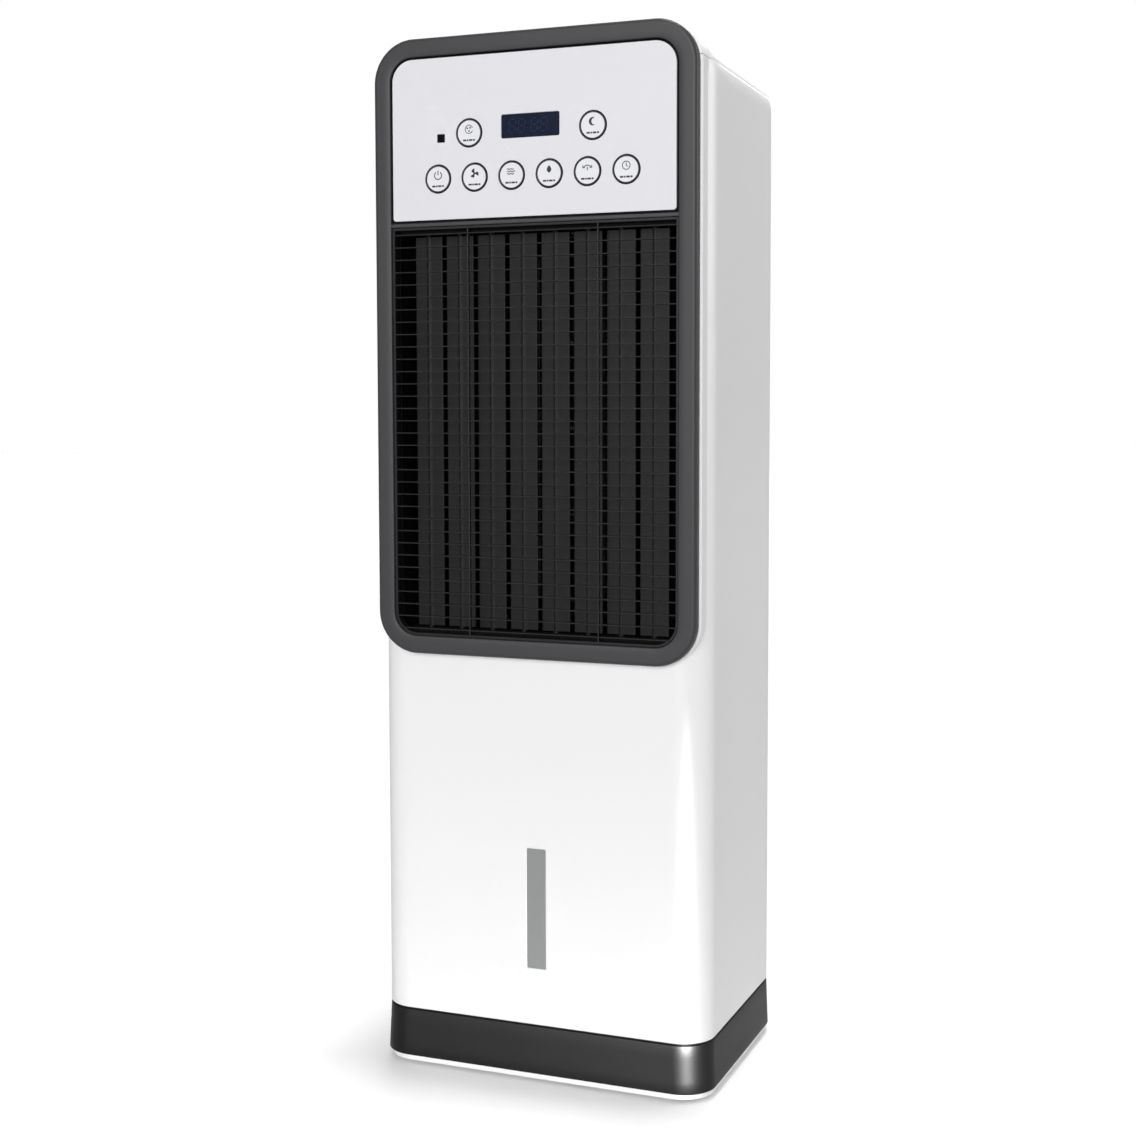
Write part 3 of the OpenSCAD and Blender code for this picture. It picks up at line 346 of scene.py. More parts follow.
def make_materials():
    """Every finish by name: colour, roughness, and how strong each effect is."""
    made = {}

    def add(name, *values, **named):
        made[name] = surface(name, *values, **named)

    add("white_shell_plastic", (0.86, 0.86, 0.865), 0.34, drift=0.02, spread=0.06, grain=700.0, depth=0.006,
        dust=0.03, rub=0.1, IOR=1.5)
    add("ring_plastic", (0.040, 0.0405, 0.0435), 0.43, rub=0.3, grain=1500.0, depth=0.012,
        Specular_IOR_Level=0.4)
    add("panel_film", (0.745, 0.745, 0.775), 0.46, drift=0.03, grain=2200.0, depth=0.006, rub=0.1, dust=0.02)
    add("key_plastic", (0.785, 0.785, 0.815), 0.4, drift=0.03, grain=1800.0, depth=0.005, rub=0.15, dust=0.02)
    # Black ink for the printed symbols and dashes. The key rims use it too, as painted shade that darkens the
    # gap round each cap.
    add("ink_and_painted_gap_shade", (0.012, 0.012, 0.014), 0.5, drift=0.1, grain=2600.0, depth=0.003, dust=0.0)
    add("guard_plastic", (0.010, 0.010, 0.011), 0.42, rub=0.3, rubbed=(0.03, 0.03, 0.03), grain=1600.0,
        depth=0.008, dust=0.04, Specular_IOR_Level=0.3)
    add("louvre_plastic", (0.011, 0.011, 0.012), 0.42, rub=0.2, grain=1300.0, depth=0.008, dust=0.03,
        Specular_IOR_Level=0.22)
    add("inside_black_plastic", (0.004, 0.004, 0.004), 0.65, rub=0.2, grain=1100.0, depth=0.02, dust=0.02,
        Specular_IOR_Level=0.15)
    add("band_plastic", (0.004, 0.004, 0.004), 0.36, rub=0.2, drift=0.05, spread=0.05, grain=500.0,
        depth=0.002, dust=0.01, Specular_IOR_Level=0.18)
    add("plate_plastic", (0.84, 0.84, 0.845), 0.4, drift=0.03, grain=900.0, depth=0.01)
    add("natural_plastic", (0.66, 0.65, 0.61), 0.5, drift=0.06, grain=800.0, depth=0.02, dust=0.15)
    add("window_plastic", (0.262, 0.268, 0.266), 0.28, drift=0.03, spread=0.03, grain=1200.0, depth=0.004,
        dust=0.03)
    add("rubber", (0.018, 0.018, 0.018), 0.8, rub=0.5, rubbed=(0.08, 0.08, 0.08), grain=1400.0, depth=0.05)
    add("rotor_plastic", (0.03, 0.03, 0.032), 0.45, rub=0.4, grain=1100.0, depth=0.01, dust=0.3)
    add("pump_plastic", (0.02, 0.021, 0.023), 0.42, rub=0.4, grain=1300.0, depth=0.015, dust=0.1)
    add("pipe_plastic", (0.33, 0.36, 0.39), 0.35, grain=600.0, depth=0.006)
    add("infrared_plastic", (0.002, 0.002, 0.003), 0.2, grain=900.0, depth=0.001, dust=0.0, rub=0.0,
        Specular_IOR_Level=0.15)
    add("zinc_plate", (0.62, 0.62, 0.60), 0.36, rub=0.5, rubbed=(0.85, 0.85, 0.84), drift=0.15,
        drift_scale=160.0, spread=0.2, grain=3000.0, depth=0.01, Metallic=1.0)
    add("plated_steel", (0.58, 0.59, 0.60), 0.38, rub=0.3, drift=0.12, drift_scale=60.0, spread=0.2,
        grain=1800.0, depth=0.01, Metallic=1.0)
    add("ground_steel", (0.66, 0.66, 0.66), 0.24, rub=0.2, drift=0.08, spread=0.15, grain=4000.0, depth=0.004,
        Metallic=1.0)
    add("sintered_bronze", (0.55, 0.36, 0.16), 0.5, rub=0.4, drift=0.2, drift_scale=300.0, grain=5000.0,
        depth=0.03, Metallic=1.0)
    add("solder_resist", (0.012, 0.085, 0.035), 0.32, drift=0.15, drift_scale=40.0, grain=700.0, depth=0.01)
    add("display_glass", (0.0055, 0.0105, 0.029), 0.14, drift=0.04, spread=0.03, grain=600.0, depth=0.0008,
        dust=0.02, Specular_IOR_Level=0.3)
    add("unlit_segments", (0.011, 0.020, 0.055), 0.14, drift=0.04, spread=0.03, grain=600.0, depth=0.0008,
        dust=0.02, Specular_IOR_Level=0.3)
    add("filter_net", (0.045, 0.047, 0.05), 0.6, rub=0.3, grain=2500.0, depth=0.02, dust=0.5)
    made["pad_paper"] = paper_material()
    add("tank_plastic", (0.82, 0.86, 0.87), 0.38, drift=0.05, grain=500.0, depth=0.004, dust=0.0,
        Transmission_Weight=0.55, IOR=1.49)
    return made


def paper_material():
    """Stiffened brown paper: fibres along the sheet, darker where water has stood."""
    material = bpy.data.materials.new("pad_paper")
    material.use_nodes = True
    tree = material.node_tree
    shader = tree.nodes["Principled BSDF"]
    place = object_place(tree)
    stretch = put(tree, "ShaderNodeMapping", {"Vector": place, "Scale": (1.0, 0.25, 1.0)})
    fibre = put(tree, "ShaderNodeTexNoise", {"Vector": stretch.outputs[0], "Scale": 900.0, "Detail": 5.0,
                                             "Roughness": 0.7})
    stain = put(tree, "ShaderNodeTexNoise", {"Vector": place, "Scale": 18.0, "Detail": 3.0})
    colour = mixed(tree, "MIX", fibre.outputs["Fac"], (0.30, 0.165, 0.065, 1), (0.50, 0.32, 0.15, 1))
    wet = calc(tree, "MULTIPLY", stain.outputs["Fac"], 0.55)
    colour = mixed(tree, "MULTIPLY", wet, colour, (0.62, 0.55, 0.48, 1))
    tree.links.new(colour, shader.inputs["Base Color"])
    shader.inputs["Roughness"].default_value = 0.92
    bump = put(tree, "ShaderNodeBump", {"Height": fibre.outputs["Fac"], "Distance": 0.08 * MM,
                                        "Strength": 1.0})
    tree.links.new(bump.outputs["Normal"], shader.inputs["Normal"])
    return material


# ---------------------------------------------------------------- mesh helpers

def add_piece(name, mesh, material, body, replaces=()):
    """Links a finished mesh as a piece that rides on a body and may stand for CAD nodes."""
    mesh.name = name
    mesh.materials.clear()
    mesh.materials.append(MATERIAL[material])
    made = linked(name, mesh)
    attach(made, body)
    if replaces:
        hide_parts(*replaces)
    return made


def finished(mesh, modifiers):
    """Applies (kind, settings) modifiers to a mesh and gives back a plain mesh."""
    worker = linked("worker", mesh)
    for kind, settings in modifiers:
        modifier = worker.modifiers.new(kind.lower(), kind)
        for key, value in settings.items():
            setattr(modifier, key, value)
    bpy.context.view_layer.update()
    graph = bpy.context.evaluated_depsgraph_get()
    made = bpy.data.meshes.new_from_object(worker.evaluated_get(graph))
    bpy.data.objects.remove(worker)
    return made


def smooth(mesh, angle=32):
    """Smooth shading, with sharp edges past an angle."""
    mesh.shade_smooth()
    mesh.set_sharp_from_angle(angle=math.radians(angle))
    return mesh


FLAT_FACES = ("WEIGHTED_NORMAL", {"keep_sharp": True, "weight": 100})


def rounding(width, steps=2, angle=32):
    """Bevel that rounds every edge sharper than an angle."""
    return ("BEVEL", {"width": width * MM, "segments": steps, "limit_method": "ANGLE",
                      "angle_limit": math.radians(angle), "use_clamp_overlap": False, "harden_normals": True})


def joined_faces(node):
    """Copy of a CAD node's mesh with its loose triangles merged and its flat faces whole."""
    shape = bmesh.new()
    shape.from_mesh(NODES[node].data)
    bmesh.ops.remove_doubles(shape, verts=shape.verts, dist=0.002 * MM)
    bmesh.ops.dissolve_limit(shape, angle_limit=math.radians(0.6), verts=shape.verts, edges=shape.edges)
    mesh = bpy.data.meshes.new(node)
    shape.to_mesh(mesh)
    shape.free()
    return mesh


def rounded_copy(node, width, material, steps=2):
    """Stands for a CAD node: the same shape with its edges rounded as a mould leaves them."""
    mesh = finished(smooth(joined_faces(node)), [rounding(width, steps), FLAT_FACES])
    return add_piece(node + "_moulding", mesh, material, BODY_OF[node], (node,))


def mesh_from(shape, angle=32):
    """Turns a bmesh into a smooth mesh whose faces point outwards."""
    bmesh.ops.remove_doubles(shape, verts=shape.verts, dist=0.001 * MM)
    bmesh.ops.recalc_face_normals(shape, faces=shape.faces)
    mesh = bpy.data.meshes.new("shape")
    shape.to_mesh(mesh)
    shape.free()
    return smooth(mesh, angle)


def loft(shape, rings, closed=False):
    """Skins rings of points that all have the same count. closed joins the last ring to the first, and else
    both ends are capped."""
    rows = [[shape.verts.new(point) for point in ring] for ring in rings]
    pairs = list(zip(rows, rows[1:])) + ([(rows[-1], rows[0])] if closed else [])
    for first, second in pairs:
        for i in range(len(first)):
            j = (i + 1) % len(first)
            shape.faces.new((first[i], first[j], second[j], second[i]))
    if not closed:
        shape.faces.new(rows[0])
        shape.faces.new(rows[-1])


def rounded_rectangle(half_x, half_y, radius, steps=12):
    """Points round a rectangle with equal corners, about its own middle."""
    points = []
    for quarter, (sx, sy) in enumerate(((1, 1), (-1, 1), (-1, -1), (1, -1))):
        for i in range(steps + 1):
            turn = math.radians(90 * quarter + 90 * i / steps)
            points.append((sx * (half_x - radius) + radius * math.cos(turn),
                           sy * (half_y - radius) + radius * math.sin(turn)))
    return points


def arc(centre, radius, start, stop, steps):
    """Points on an arc in degrees, both ends included."""
    turns = (math.radians(start + (stop - start) * i / steps) for i in range(steps + 1))
    return [(centre[0] + radius * math.cos(t), centre[1] + radius * math.sin(t)) for t in turns]


def turned(profile, centre, steps=48, closed=False):
    """Turned shape about an axis along Y. profile is (radius, y), from pole to pole or closed on itself."""
    shape = bmesh.new()
    turns = [2 * math.pi * i / steps for i in range(steps)]
    pole = 1e-7
    rings = [[(centre[0] + max(radius, pole) * math.cos(t), y, centre[1] + max(radius, pole) * math.sin(t))
              for t in turns] for radius, y in profile]
    loft(shape, rings, closed)
    return shape


def upright_frame(middle, half_x, half_z, radius, steps, profile, least=0.0, angle=32):
    """Frame round an opening in X and Z. profile is (how far out, y), and corners keep a least radius."""
    shape = bmesh.new()
    rings = []
    for out, y in profile:
        outline = rounded_rectangle(half_x + out, half_z + out, max(radius + out, least), steps)
        rings.append([(x, y, middle + z) for x, z in outline])
    loft(shape, rings, closed=True)
    return mesh_from(shape, angle)


# ---------------------------------------------------------------- what repeats

def slat_group():
    """Straight slats along X in a row up Z, with rounded edges. Near the lowest slat they shorten to stay
    inside an opening whose bottom corners are round. The row is then turned and put in its place."""
    tree, start, end = new_group(
        "slat_row", "GeometryNodeTree",
        [("Geometry", GEOMETRY, None), ("Length", LENGTH, 0.2), ("Depth", LENGTH, 0.004),
         ("Thickness", LENGTH, 0.001), ("Edge Radius", LENGTH, 0.0003), ("Edge Steps", WHOLE, 2),
         ("Count", WHOLE, 10), ("Pitch", LENGTH, 0.01), ("Corner Radius", LENGTH, 0.0),
         ("Corner Drop", LENGTH, 1.0), ("Turn", VECTOR, (0, 0, 0)), ("Place", VECTOR, (0, 0, 0)),
         ("Finish", "NodeSocketMaterial", None)], [("Geometry", GEOMETRY)])
    get = start.outputs
    half = calc(tree, "MULTIPLY", get["Length"], 0.5)
    minus = calc(tree, "MULTIPLY", half, -1.0)
    left = put(tree, "ShaderNodeCombineXYZ", {"X": minus})
    right = put(tree, "ShaderNodeCombineXYZ", {"X": half})
    path = put(tree, "GeometryNodeCurvePrimitiveLine", {"Start": left.outputs[0], "End": right.outputs[0]})
    outline = put(tree, "GeometryNodeCurvePrimitiveQuadrilateral", {"Width": get["Depth"],
                                                                   "Height": get["Thickness"]})
    soft = put(tree, "GeometryNodeFilletCurve", {"Curve": outline.outputs[0], "Radius": get["Edge Radius"],
                                                 "Count": get["Edge Steps"]}, mode="POLY")
    slat = put(tree, "GeometryNodeCurveToMesh", {"Curve": path.outputs[0], "Profile Curve": soft.outputs[0],
                                                 "Fill Caps": True})
    below = calc(tree, "MULTIPLY", calc(tree, "SUBTRACT", get["Count"], 1.0), get["Pitch"])
    first = put(tree, "ShaderNodeCombineXYZ", {"Z": calc(tree, "MULTIPLY", below, -0.5)})
    step = put(tree, "ShaderNodeCombineXYZ", {"Z": get["Pitch"]})
    row = put(tree, "GeometryNodeMeshLine", {"Count": get["Count"], "Start Location": first.outputs[0],
                                             "Offset": step.outputs[0]})
    height = put(tree, "ShaderNodeSeparateXYZ", {0: put(tree, "GeometryNodeInputPosition").outputs[0]})
    drop = calc(tree, "SUBTRACT", calc(tree, "MULTIPLY", height.outputs["Z"], -1.0), get["Corner Drop"])
    drop = calc(tree, "MINIMUM", calc(tree, "MAXIMUM", drop, 0.0), get["Corner Radius"])
    square = calc(tree, "SUBTRACT", calc(tree, "POWER", get["Corner Radius"], 2.0),
                  calc(tree, "POWER", drop, 2.0))
    cut = calc(tree, "SUBTRACT", get["Corner Radius"], calc(tree, "SQRT", square))
    share = calc(tree, "DIVIDE", calc(tree, "SUBTRACT", half, cut), half)
    size = put(tree, "ShaderNodeCombineXYZ", {"X": share, "Y": 1.0, "Z": 1.0})
    many = put(tree, "GeometryNodeInstanceOnPoints", {"Points": row.outputs[0], "Instance": slat.outputs[0],
                                                      "Scale": size.outputs[0]})
    real = put(tree, "GeometryNodeRealizeInstances", {0: many.outputs[0]})
    placed = put(tree, "GeometryNodeTransform", {"Geometry": real.outputs[0], "Translation": get["Place"],
                                                 "Rotation": get["Turn"]})
    done = put(tree, "GeometryNodeSetMaterial", {"Geometry": placed.outputs[0], "Material": get["Finish"]})
    tree.links.new(done.outputs[0], end.inputs["Geometry"])
    return tree


def copies_group():
    """Copies of one piece in columns along X and rows up Z."""
    tree, start, end = new_group(
        "rows_of_copies", "GeometryNodeTree",
        [("Geometry", GEOMETRY, None), ("Piece", "NodeSocketObject", None), ("Columns", WHOLE, 2),
         ("Rows", WHOLE, 2), ("Width", LENGTH, 0.1), ("Height", LENGTH, 0.1), ("Turn", VECTOR, (0, 0, 0)),
         ("Place", VECTOR, (0, 0, 0)), ("Finish", "NodeSocketMaterial", None)], [("Geometry", GEOMETRY)])
    get = start.outputs
    piece = put(tree, "GeometryNodeObjectInfo", {"Object": get["Piece"]})
    grid = put(tree, "GeometryNodeMeshGrid", {"Size X": get["Width"], "Size Y": get["Height"],
                                              "Vertices X": get["Columns"], "Vertices Y": get["Rows"]})
    placed = put(tree, "GeometryNodeTransform", {"Geometry": grid.outputs[0], "Rotation": get["Turn"],
                                                 "Translation": get["Place"]})
    many = put(tree, "GeometryNodeInstanceOnPoints", {"Points": placed.outputs[0],
                                                      "Instance": piece.outputs["Geometry"]})
    real = put(tree, "GeometryNodeRealizeInstances", {0: many.outputs[0]})
    done = put(tree, "GeometryNodeSetMaterial", {"Geometry": real.outputs[0], "Material": get["Finish"]})
    tree.links.new(done.outputs[0], end.inputs["Geometry"])
    return tree


def flute_group():
    """Corrugated sheets stacked along X. The flutes of every other sheet slope the other way."""
    tree, start, end = new_group(
        "corrugated_stack", "GeometryNodeTree",
        [("Geometry", GEOMETRY, None), ("Width", LENGTH, 0.2), ("Depth", LENGTH, 0.024),
         ("Height", LENGTH, 0.5), ("Sheets", WHOLE, 40), ("Wave Pitch", LENGTH, 0.009),
         ("Wave Height", LENGTH, 0.004), ("Slope", FLOAT, 0.7), ("Points Up", WHOLE, 300),
         ("Points Deep", WHOLE, 5), ("Place", VECTOR, (0, 0, 0)), ("Finish", "NodeSocketMaterial", None)],
        [("Geometry", GEOMETRY)])
    get = start.outputs
    flat = put(tree, "GeometryNodeMeshGrid", {"Size X": get["Height"], "Size Y": get["Depth"],
                                              "Vertices X": get["Points Up"],
                                              "Vertices Y": get["Points Deep"]})
    upright = put(tree, "GeometryNodeTransform", {"Geometry": flat.outputs[0],
                                                  "Rotation": (0.0, -math.pi / 2, 0.0)})
    place = put(tree, "ShaderNodeSeparateXYZ", {0: put(tree, "GeometryNodeInputPosition").outputs[0]})
    half_wave = calc(tree, "MULTIPLY", get["Wave Height"], 0.5)
    turns = calc(tree, "DIVIDE", 2 * math.pi, get["Wave Pitch"])
    sheets = []
    for side in (1.0, -1.0):
        slope = calc(tree, "MULTIPLY", calc(tree, "MULTIPLY", place.outputs["Y"], get["Slope"]), side)
        along = calc(tree, "ADD", place.outputs["Z"], slope)
        wave = calc(tree, "MULTIPLY", calc(tree, "SINE", calc(tree, "MULTIPLY", along, turns)), half_wave)
        offset = put(tree, "ShaderNodeCombineXYZ", {"X": wave})
        bent = put(tree, "GeometryNodeSetPosition", {"Geometry": upright.outputs[0],
                                                     "Offset": offset.outputs[0]})
        sheets.append(bent.outputs[0])
    gap = calc(tree, "DIVIDE", get["Width"], get["Sheets"])
    pairs = calc(tree, "MULTIPLY", get["Sheets"], 0.5)
    parts = []
    for side, sheet in zip((-0.5, 0.5), sheets):
        reach = calc(tree, "MULTIPLY", calc(tree, "SUBTRACT", pairs, 1.0), gap)
        first = calc(tree, "SUBTRACT", calc(tree, "MULTIPLY", gap, side), reach)
        corner = put(tree, "ShaderNodeCombineXYZ", {"X": first})
        step = put(tree, "ShaderNodeCombineXYZ", {"X": calc(tree, "MULTIPLY", gap, 2.0)})
        row = put(tree, "GeometryNodeMeshLine", {"Count": pairs, "Start Location": corner.outputs[0],
                                                 "Offset": step.outputs[0]})
        parts.append(put(tree, "GeometryNodeInstanceOnPoints", {"Points": row.outputs[0],
                                                                "Instance": sheet}))
    both = put(tree, "GeometryNodeJoinGeometry")
    for part in parts:
        tree.links.new(part.outputs[0], both.inputs[0])
    real = put(tree, "GeometryNodeRealizeInstances", {0: both.outputs[0]})
    placed = put(tree, "GeometryNodeTransform", {"Geometry": real.outputs[0], "Translation": get["Place"]})
    done = put(tree, "GeometryNodeSetMaterial", {"Geometry": placed.outputs[0], "Material": get["Finish"]})
    tree.links.new(done.outputs[0], end.inputs["Geometry"])
    return tree


def grown(group, inputs):
    """Runs a Geometry Nodes group with named inputs and gives back the plain mesh that it makes."""
    worker = linked("worker", bpy.data.meshes.new("worker"))
    modifier = worker.modifiers.new("make", "NODES")
    modifier.node_group = group
    sockets = {item.name: item.identifier for item in group.interface.items_tree
               if item.item_type == "SOCKET" and item.in_out == "INPUT"}
    for label, value in inputs.items():
        modifier[sockets[label]] = value
    worker.update_tag()
    bpy.context.view_layer.update()
    graph = bpy.context.evaluated_depsgraph_get()
    mesh = bpy.data.meshes.new_from_object(worker.evaluated_get(graph))
    bpy.data.objects.remove(worker)
    return mesh


def merged(meshes, angle=32):
    """One mesh from several."""
    shape = bmesh.new()
    for mesh in meshes:
        shape.from_mesh(mesh)
    made = bpy.data.meshes.new("merged")
    shape.to_mesh(made)
    shape.free()
    return smooth(made, angle)


# ---------------------------------------------------------------- white shells

class Body:
    """Outside of the body as level outlines.

    Its crown and its back edge curve in towards the top, its upright corners are round, and behind the ring
    the front corners fill out to a seat. front_steps are distances from the front, in millimetres, of the
    points that draw a front corner. plain_levels are heights where the outline hardly changes.
    """
    wall, corner, crown, tail = 2.5 * MM, 28 * MM, 41 * MM, 20 * MM
    seat_r, seat_rim, edge = 37 * MM, 2 * MM, 1.5 * MM
    top_fall, opening_inset = 6 * MM, 13 * MM
    front_steps = [0, 0.06, 0.2, 0.45, 0.8, 1.15, 1.5] + [1.5 + 0.5 * i for i in range(1, 46)] + [26, 28]
    plain_levels = [200 * MM, 340 * MM, 500 * MM, 650 * MM, 780 * MM]

    def __init__(self):
        shell_low, shell_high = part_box("main_shell")
        cover_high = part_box("top_cover")[1]
        ring_low, ring_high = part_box("front_bezel")
        self.half, self.front, self.back = shell_high.x, shell_low.y, shell_high.y
        self.low, self.seam, self.top = shell_low.z, shell_high.z, cover_high.z
        self.slope = self.top_fall / (self.back - self.front)
        self.seat = ring_high.x + self.seat_rim
        self.seat_low, self.seat_high = ring_low.z - self.seat_rim, ring_high.z + self.seat_rim
        inset = self.opening_inset
        self.opening = (ring_high.x - inset, ring_low.z + inset, ring_high.z - inset)

    def seat_half(self, z):
        """Half the width of the seat at a height."""
        inside = min(z - self.seat_low, self.seat_high - z)
        if inside <= 0:
            return 0
        cut = self.seat_r - math.sqrt(max(self.seat_r ** 2 - max(self.seat_r - inside, 0) ** 2, 0))
        return self.seat - cut

    def outline(self, z, inset=0.0):
        """Points round the body at a height, drawn in by an inset, leaning with the top."""
        top, crown, tail = self.top - inset, self.crown - inset, self.tail - inset
        z = min(z, top)
        rise, tail_rise = max(z - top + crown, 0), max(z - top + tail, 0)
        half = self.half - inset - crown + math.sqrt(max(crown ** 2 - rise ** 2, 0))
        back = self.back - inset - tail + math.sqrt(max(tail ** 2 - tail_rise ** 2, 0))
        edge_rise = max(z - top + self.edge, 0)
        front = self.front + inset + self.edge - math.sqrt(max(self.edge ** 2 - edge_rise ** 2, 0))
        corner = self.corner - inset
        seat = 0 if inset else min(self.seat_half(z), half)
        side = []
        for step in self.front_steps:
            deep = step * MM * corner / self.corner
            x = half - corner + math.sqrt(max(corner ** 2 - (corner - deep) ** 2, 0))
            bend = max(self.edge - deep, 0)
            x = max(x, seat - self.edge + math.sqrt(self.edge ** 2 - bend ** 2))
            side.append((x, front + deep))
        for share in (0.25, 0.5, 0.75):
            side.append((half, front + corner + (back - front - 2 * corner) * share))
        side += [(half - corner + dx, back - corner + dy) for dx, dy in arc((0, 0), corner, 0, 90, 14)]
        side.append((0, back))
        lean = min((z - self.low) / (self.seam - self.low), 1) * self.slope
        loop = side + [(-x, y) for x, y in reversed(side[:-1])]
        return [(x, y, z - (y - self.front) * lean) for x, y in loop]

    def heights(self, start, stop):
        """Levels from start to stop, close together where the outline changes."""
        levels = [start, stop, *self.plain_levels]
        levels += [self.seat_low + 1 * MM * i for i in range(int(self.seat_r / MM) + 1)]
        levels += [self.top - self.crown * (1 - math.sin(math.radians(a))) for a in range(0, 91, 5)]
        levels += [self.top - self.edge * (1 - math.sin(math.radians(a))) for a in (0, 25, 50, 70)]
        return sorted({round(z, 6) for z in levels if start <= z <= stop})


def cut_away(mesh, cutters):
    """Takes each cutter mesh out of a mesh."""
    tools = [linked("cutter", cutter) for cutter in cutters]
    mesh = finished(mesh, [("BOOLEAN", {"object": tool, "operation": "DIFFERENCE", "solver": "EXACT"})
                           for tool in tools])
    for tool in tools:
        bpy.data.objects.remove(tool)
    return mesh


def upright_prism(half_x, low_z, high_z, radius, y0, y1):
    """Rounded rectangle drawn in X and Z, made solid from y0 to y1."""
    shape = bmesh.new()
    middle = (low_z + high_z) / 2
    outline = rounded_rectangle(half_x, (high_z - low_z) / 2, radius, 14)
    loft(shape, [[(x, y, middle + z) for x, z in outline] for y in (y0, y1)])
    return mesh_from(shape)


def block(low, high):
    """Plain block between two corners, used only to cut with."""
    shape = bmesh.new()
    size, middle = Vector(high) - Vector(low), (Vector(high) + Vector(low)) / 2
    bmesh.ops.create_cube(shape, size=1, matrix=Matrix.Translation(middle) @ Matrix.Diagonal((*size, 1)))
    return mesh_from(shape)


def white_shells():
    """Wrap-round shell and top cover, each one smooth wall with its openings cut and its edges rounded."""
    body = Body()
    wall, gap = body.wall, 0.5 * MM
    half, opening_low, opening_high = body.opening
    reach = (body.front - 5 * MM, body.front + wall + 1 * MM)
    opening = (half, opening_low, opening_high, 22 * MM, *reach)
    window_half, window_rise = 8.5 * MM, 50.5 * MM
    window_z = sum(corner.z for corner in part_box("level_window")) / 2
    window = (window_half, window_z - window_rise, window_z + window_rise, 1 * MM, *reach)
    rear_half, rear_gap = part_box("rear_cover")[1].x, 0.3 * MM
    rear = ((-rear_half - rear_gap, body.back - wall - 1 * MM, 0),
            (rear_half + rear_gap, body.back + 5 * MM, 1))
    levels = body.heights(body.low, body.seam)
    walls = [body.outline(z) for z in levels] + [body.outline(z, wall) for z in reversed(levels)]
    shape = bmesh.new()
    loft(shape, walls, closed=True)
    shell = cut_away(mesh_from(shape), [upright_prism(*opening), upright_prism(*window), block(*rear)])
    shell = finished(smooth(shell), [rounding(0.5, 2, 75)])
    strip_w, strip_drop, overlap = 13 * MM, 14 * MM, 0.2 * MM
    strips = [grown(SLATS, {"Length": body.seam - body.low - strip_drop, "Depth": wall, "Thickness": strip_w,
                            "Edge Radius": 0.4 * MM, "Count": 1, "Turn": (0, math.pi / 2, 0),
                            "Place": (side * (rear_half - overlap), body.back - 1.5 * wall,
                                      (body.low + body.seam - strip_drop) / 2),
                            "Finish": MATERIAL["white_shell_plastic"]}) for side in (-1, 1)]
    shell = finished(merged([shell, *strips], 50), [FLAT_FACES])
    add_piece("wrap_shell", shell, "white_shell_plastic", "cabinet", ("main_shell",))
    levels = body.heights(body.seam + gap, body.top)
    inner = [z for z in levels if z < body.top - wall] + [body.top - wall]
    shape = bmesh.new()
    loft(shape, [body.outline(z, wall) for z in reversed(inner)] + [body.outline(z) for z in levels])
    cover = cut_away(mesh_from(shape), [upright_prism(*opening)])
    cover = finished(smooth(cover), [rounding(0.5, 2, 75)])
    lip = [(4.5, -6), (2.7, -6), (2.7, 0.7), (2.3, 0.7), (2.3, 2.1), (4.5, 2.1)]
    shape = bmesh.new()
    loft(shape, [body.outline(body.seam + z * MM, inset * MM) for inset, z in lip], closed=True)
    clear_half, clear_depth = half + 14 * MM, wall + 6 * MM
    clear = block((-clear_half, body.front, 0), (clear_half, body.front + clear_depth, 1))
    lip = cut_away(mesh_from(shape), [clear])
    cover = finished(merged([cover, lip], 50), [FLAT_FACES])
    add_piece("crown_cover", cover, "white_shell_plastic", "cabinet", ("top_cover",))


# ---------------------------------------------------------------- front ring and control panel

def front_ring():
    """Dark ring: a slightly crowned face, a round outer edge and a small inner one, with the bar across."""
    low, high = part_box("front_bezel")
    rail, inner_r = 15 * MM, 20 * MM
    depth, crown = 8 * MM, 0.35 * MM
    outer_round, inner_round = 3 * MM, 0.9 * MM
    face_y, back_y = low.y, low.y + depth
    half_x, half_z = high.x - rail, (high.z - low.z) / 2 - rail
    middle = (low.z + high.z) / 2
    profile = [(0, back_y), (0, face_y + inner_round + crown)]
    profile += arc((inner_round, face_y + crown + inner_round), inner_round, 202, 248, 2)
    face = rail - outer_round - inner_round
    for i in range(9):
        share = i / 8
        profile.append((inner_round + face * share, face_y + crown * (2 * share - 1) ** 2 * (1 - share)))
    profile += arc((rail - outer_round, face_y + outer_round), outer_round, -75, 0, 5)
    profile.append((rail, back_y))
    ring = upright_frame(middle, half_x, half_z, inner_r, 20, profile, angle=40)
    bar_gap, bar_h, bar_sink = 2 * MM, 3.2 * MM, 1 * MM
    bar_d, bar_high = depth - bar_sink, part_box("control_panel")[0].z - bar_gap
    bar = grown(SLATS, {"Length": 2 * half_x + 1 * MM, "Depth": bar_d, "Thickness": bar_h,
                        "Edge Radius": 0.7 * MM, "Edge Steps": 4, "Count": 1,
                        "Place": (0, face_y + bar_sink + bar_d / 2, bar_high - bar_h / 2),
                        "Finish": MATERIAL["ring_plastic"]})
    add_piece("front_ring", merged([ring, bar]), "ring_plastic", "cabinet", ("front_bezel",))


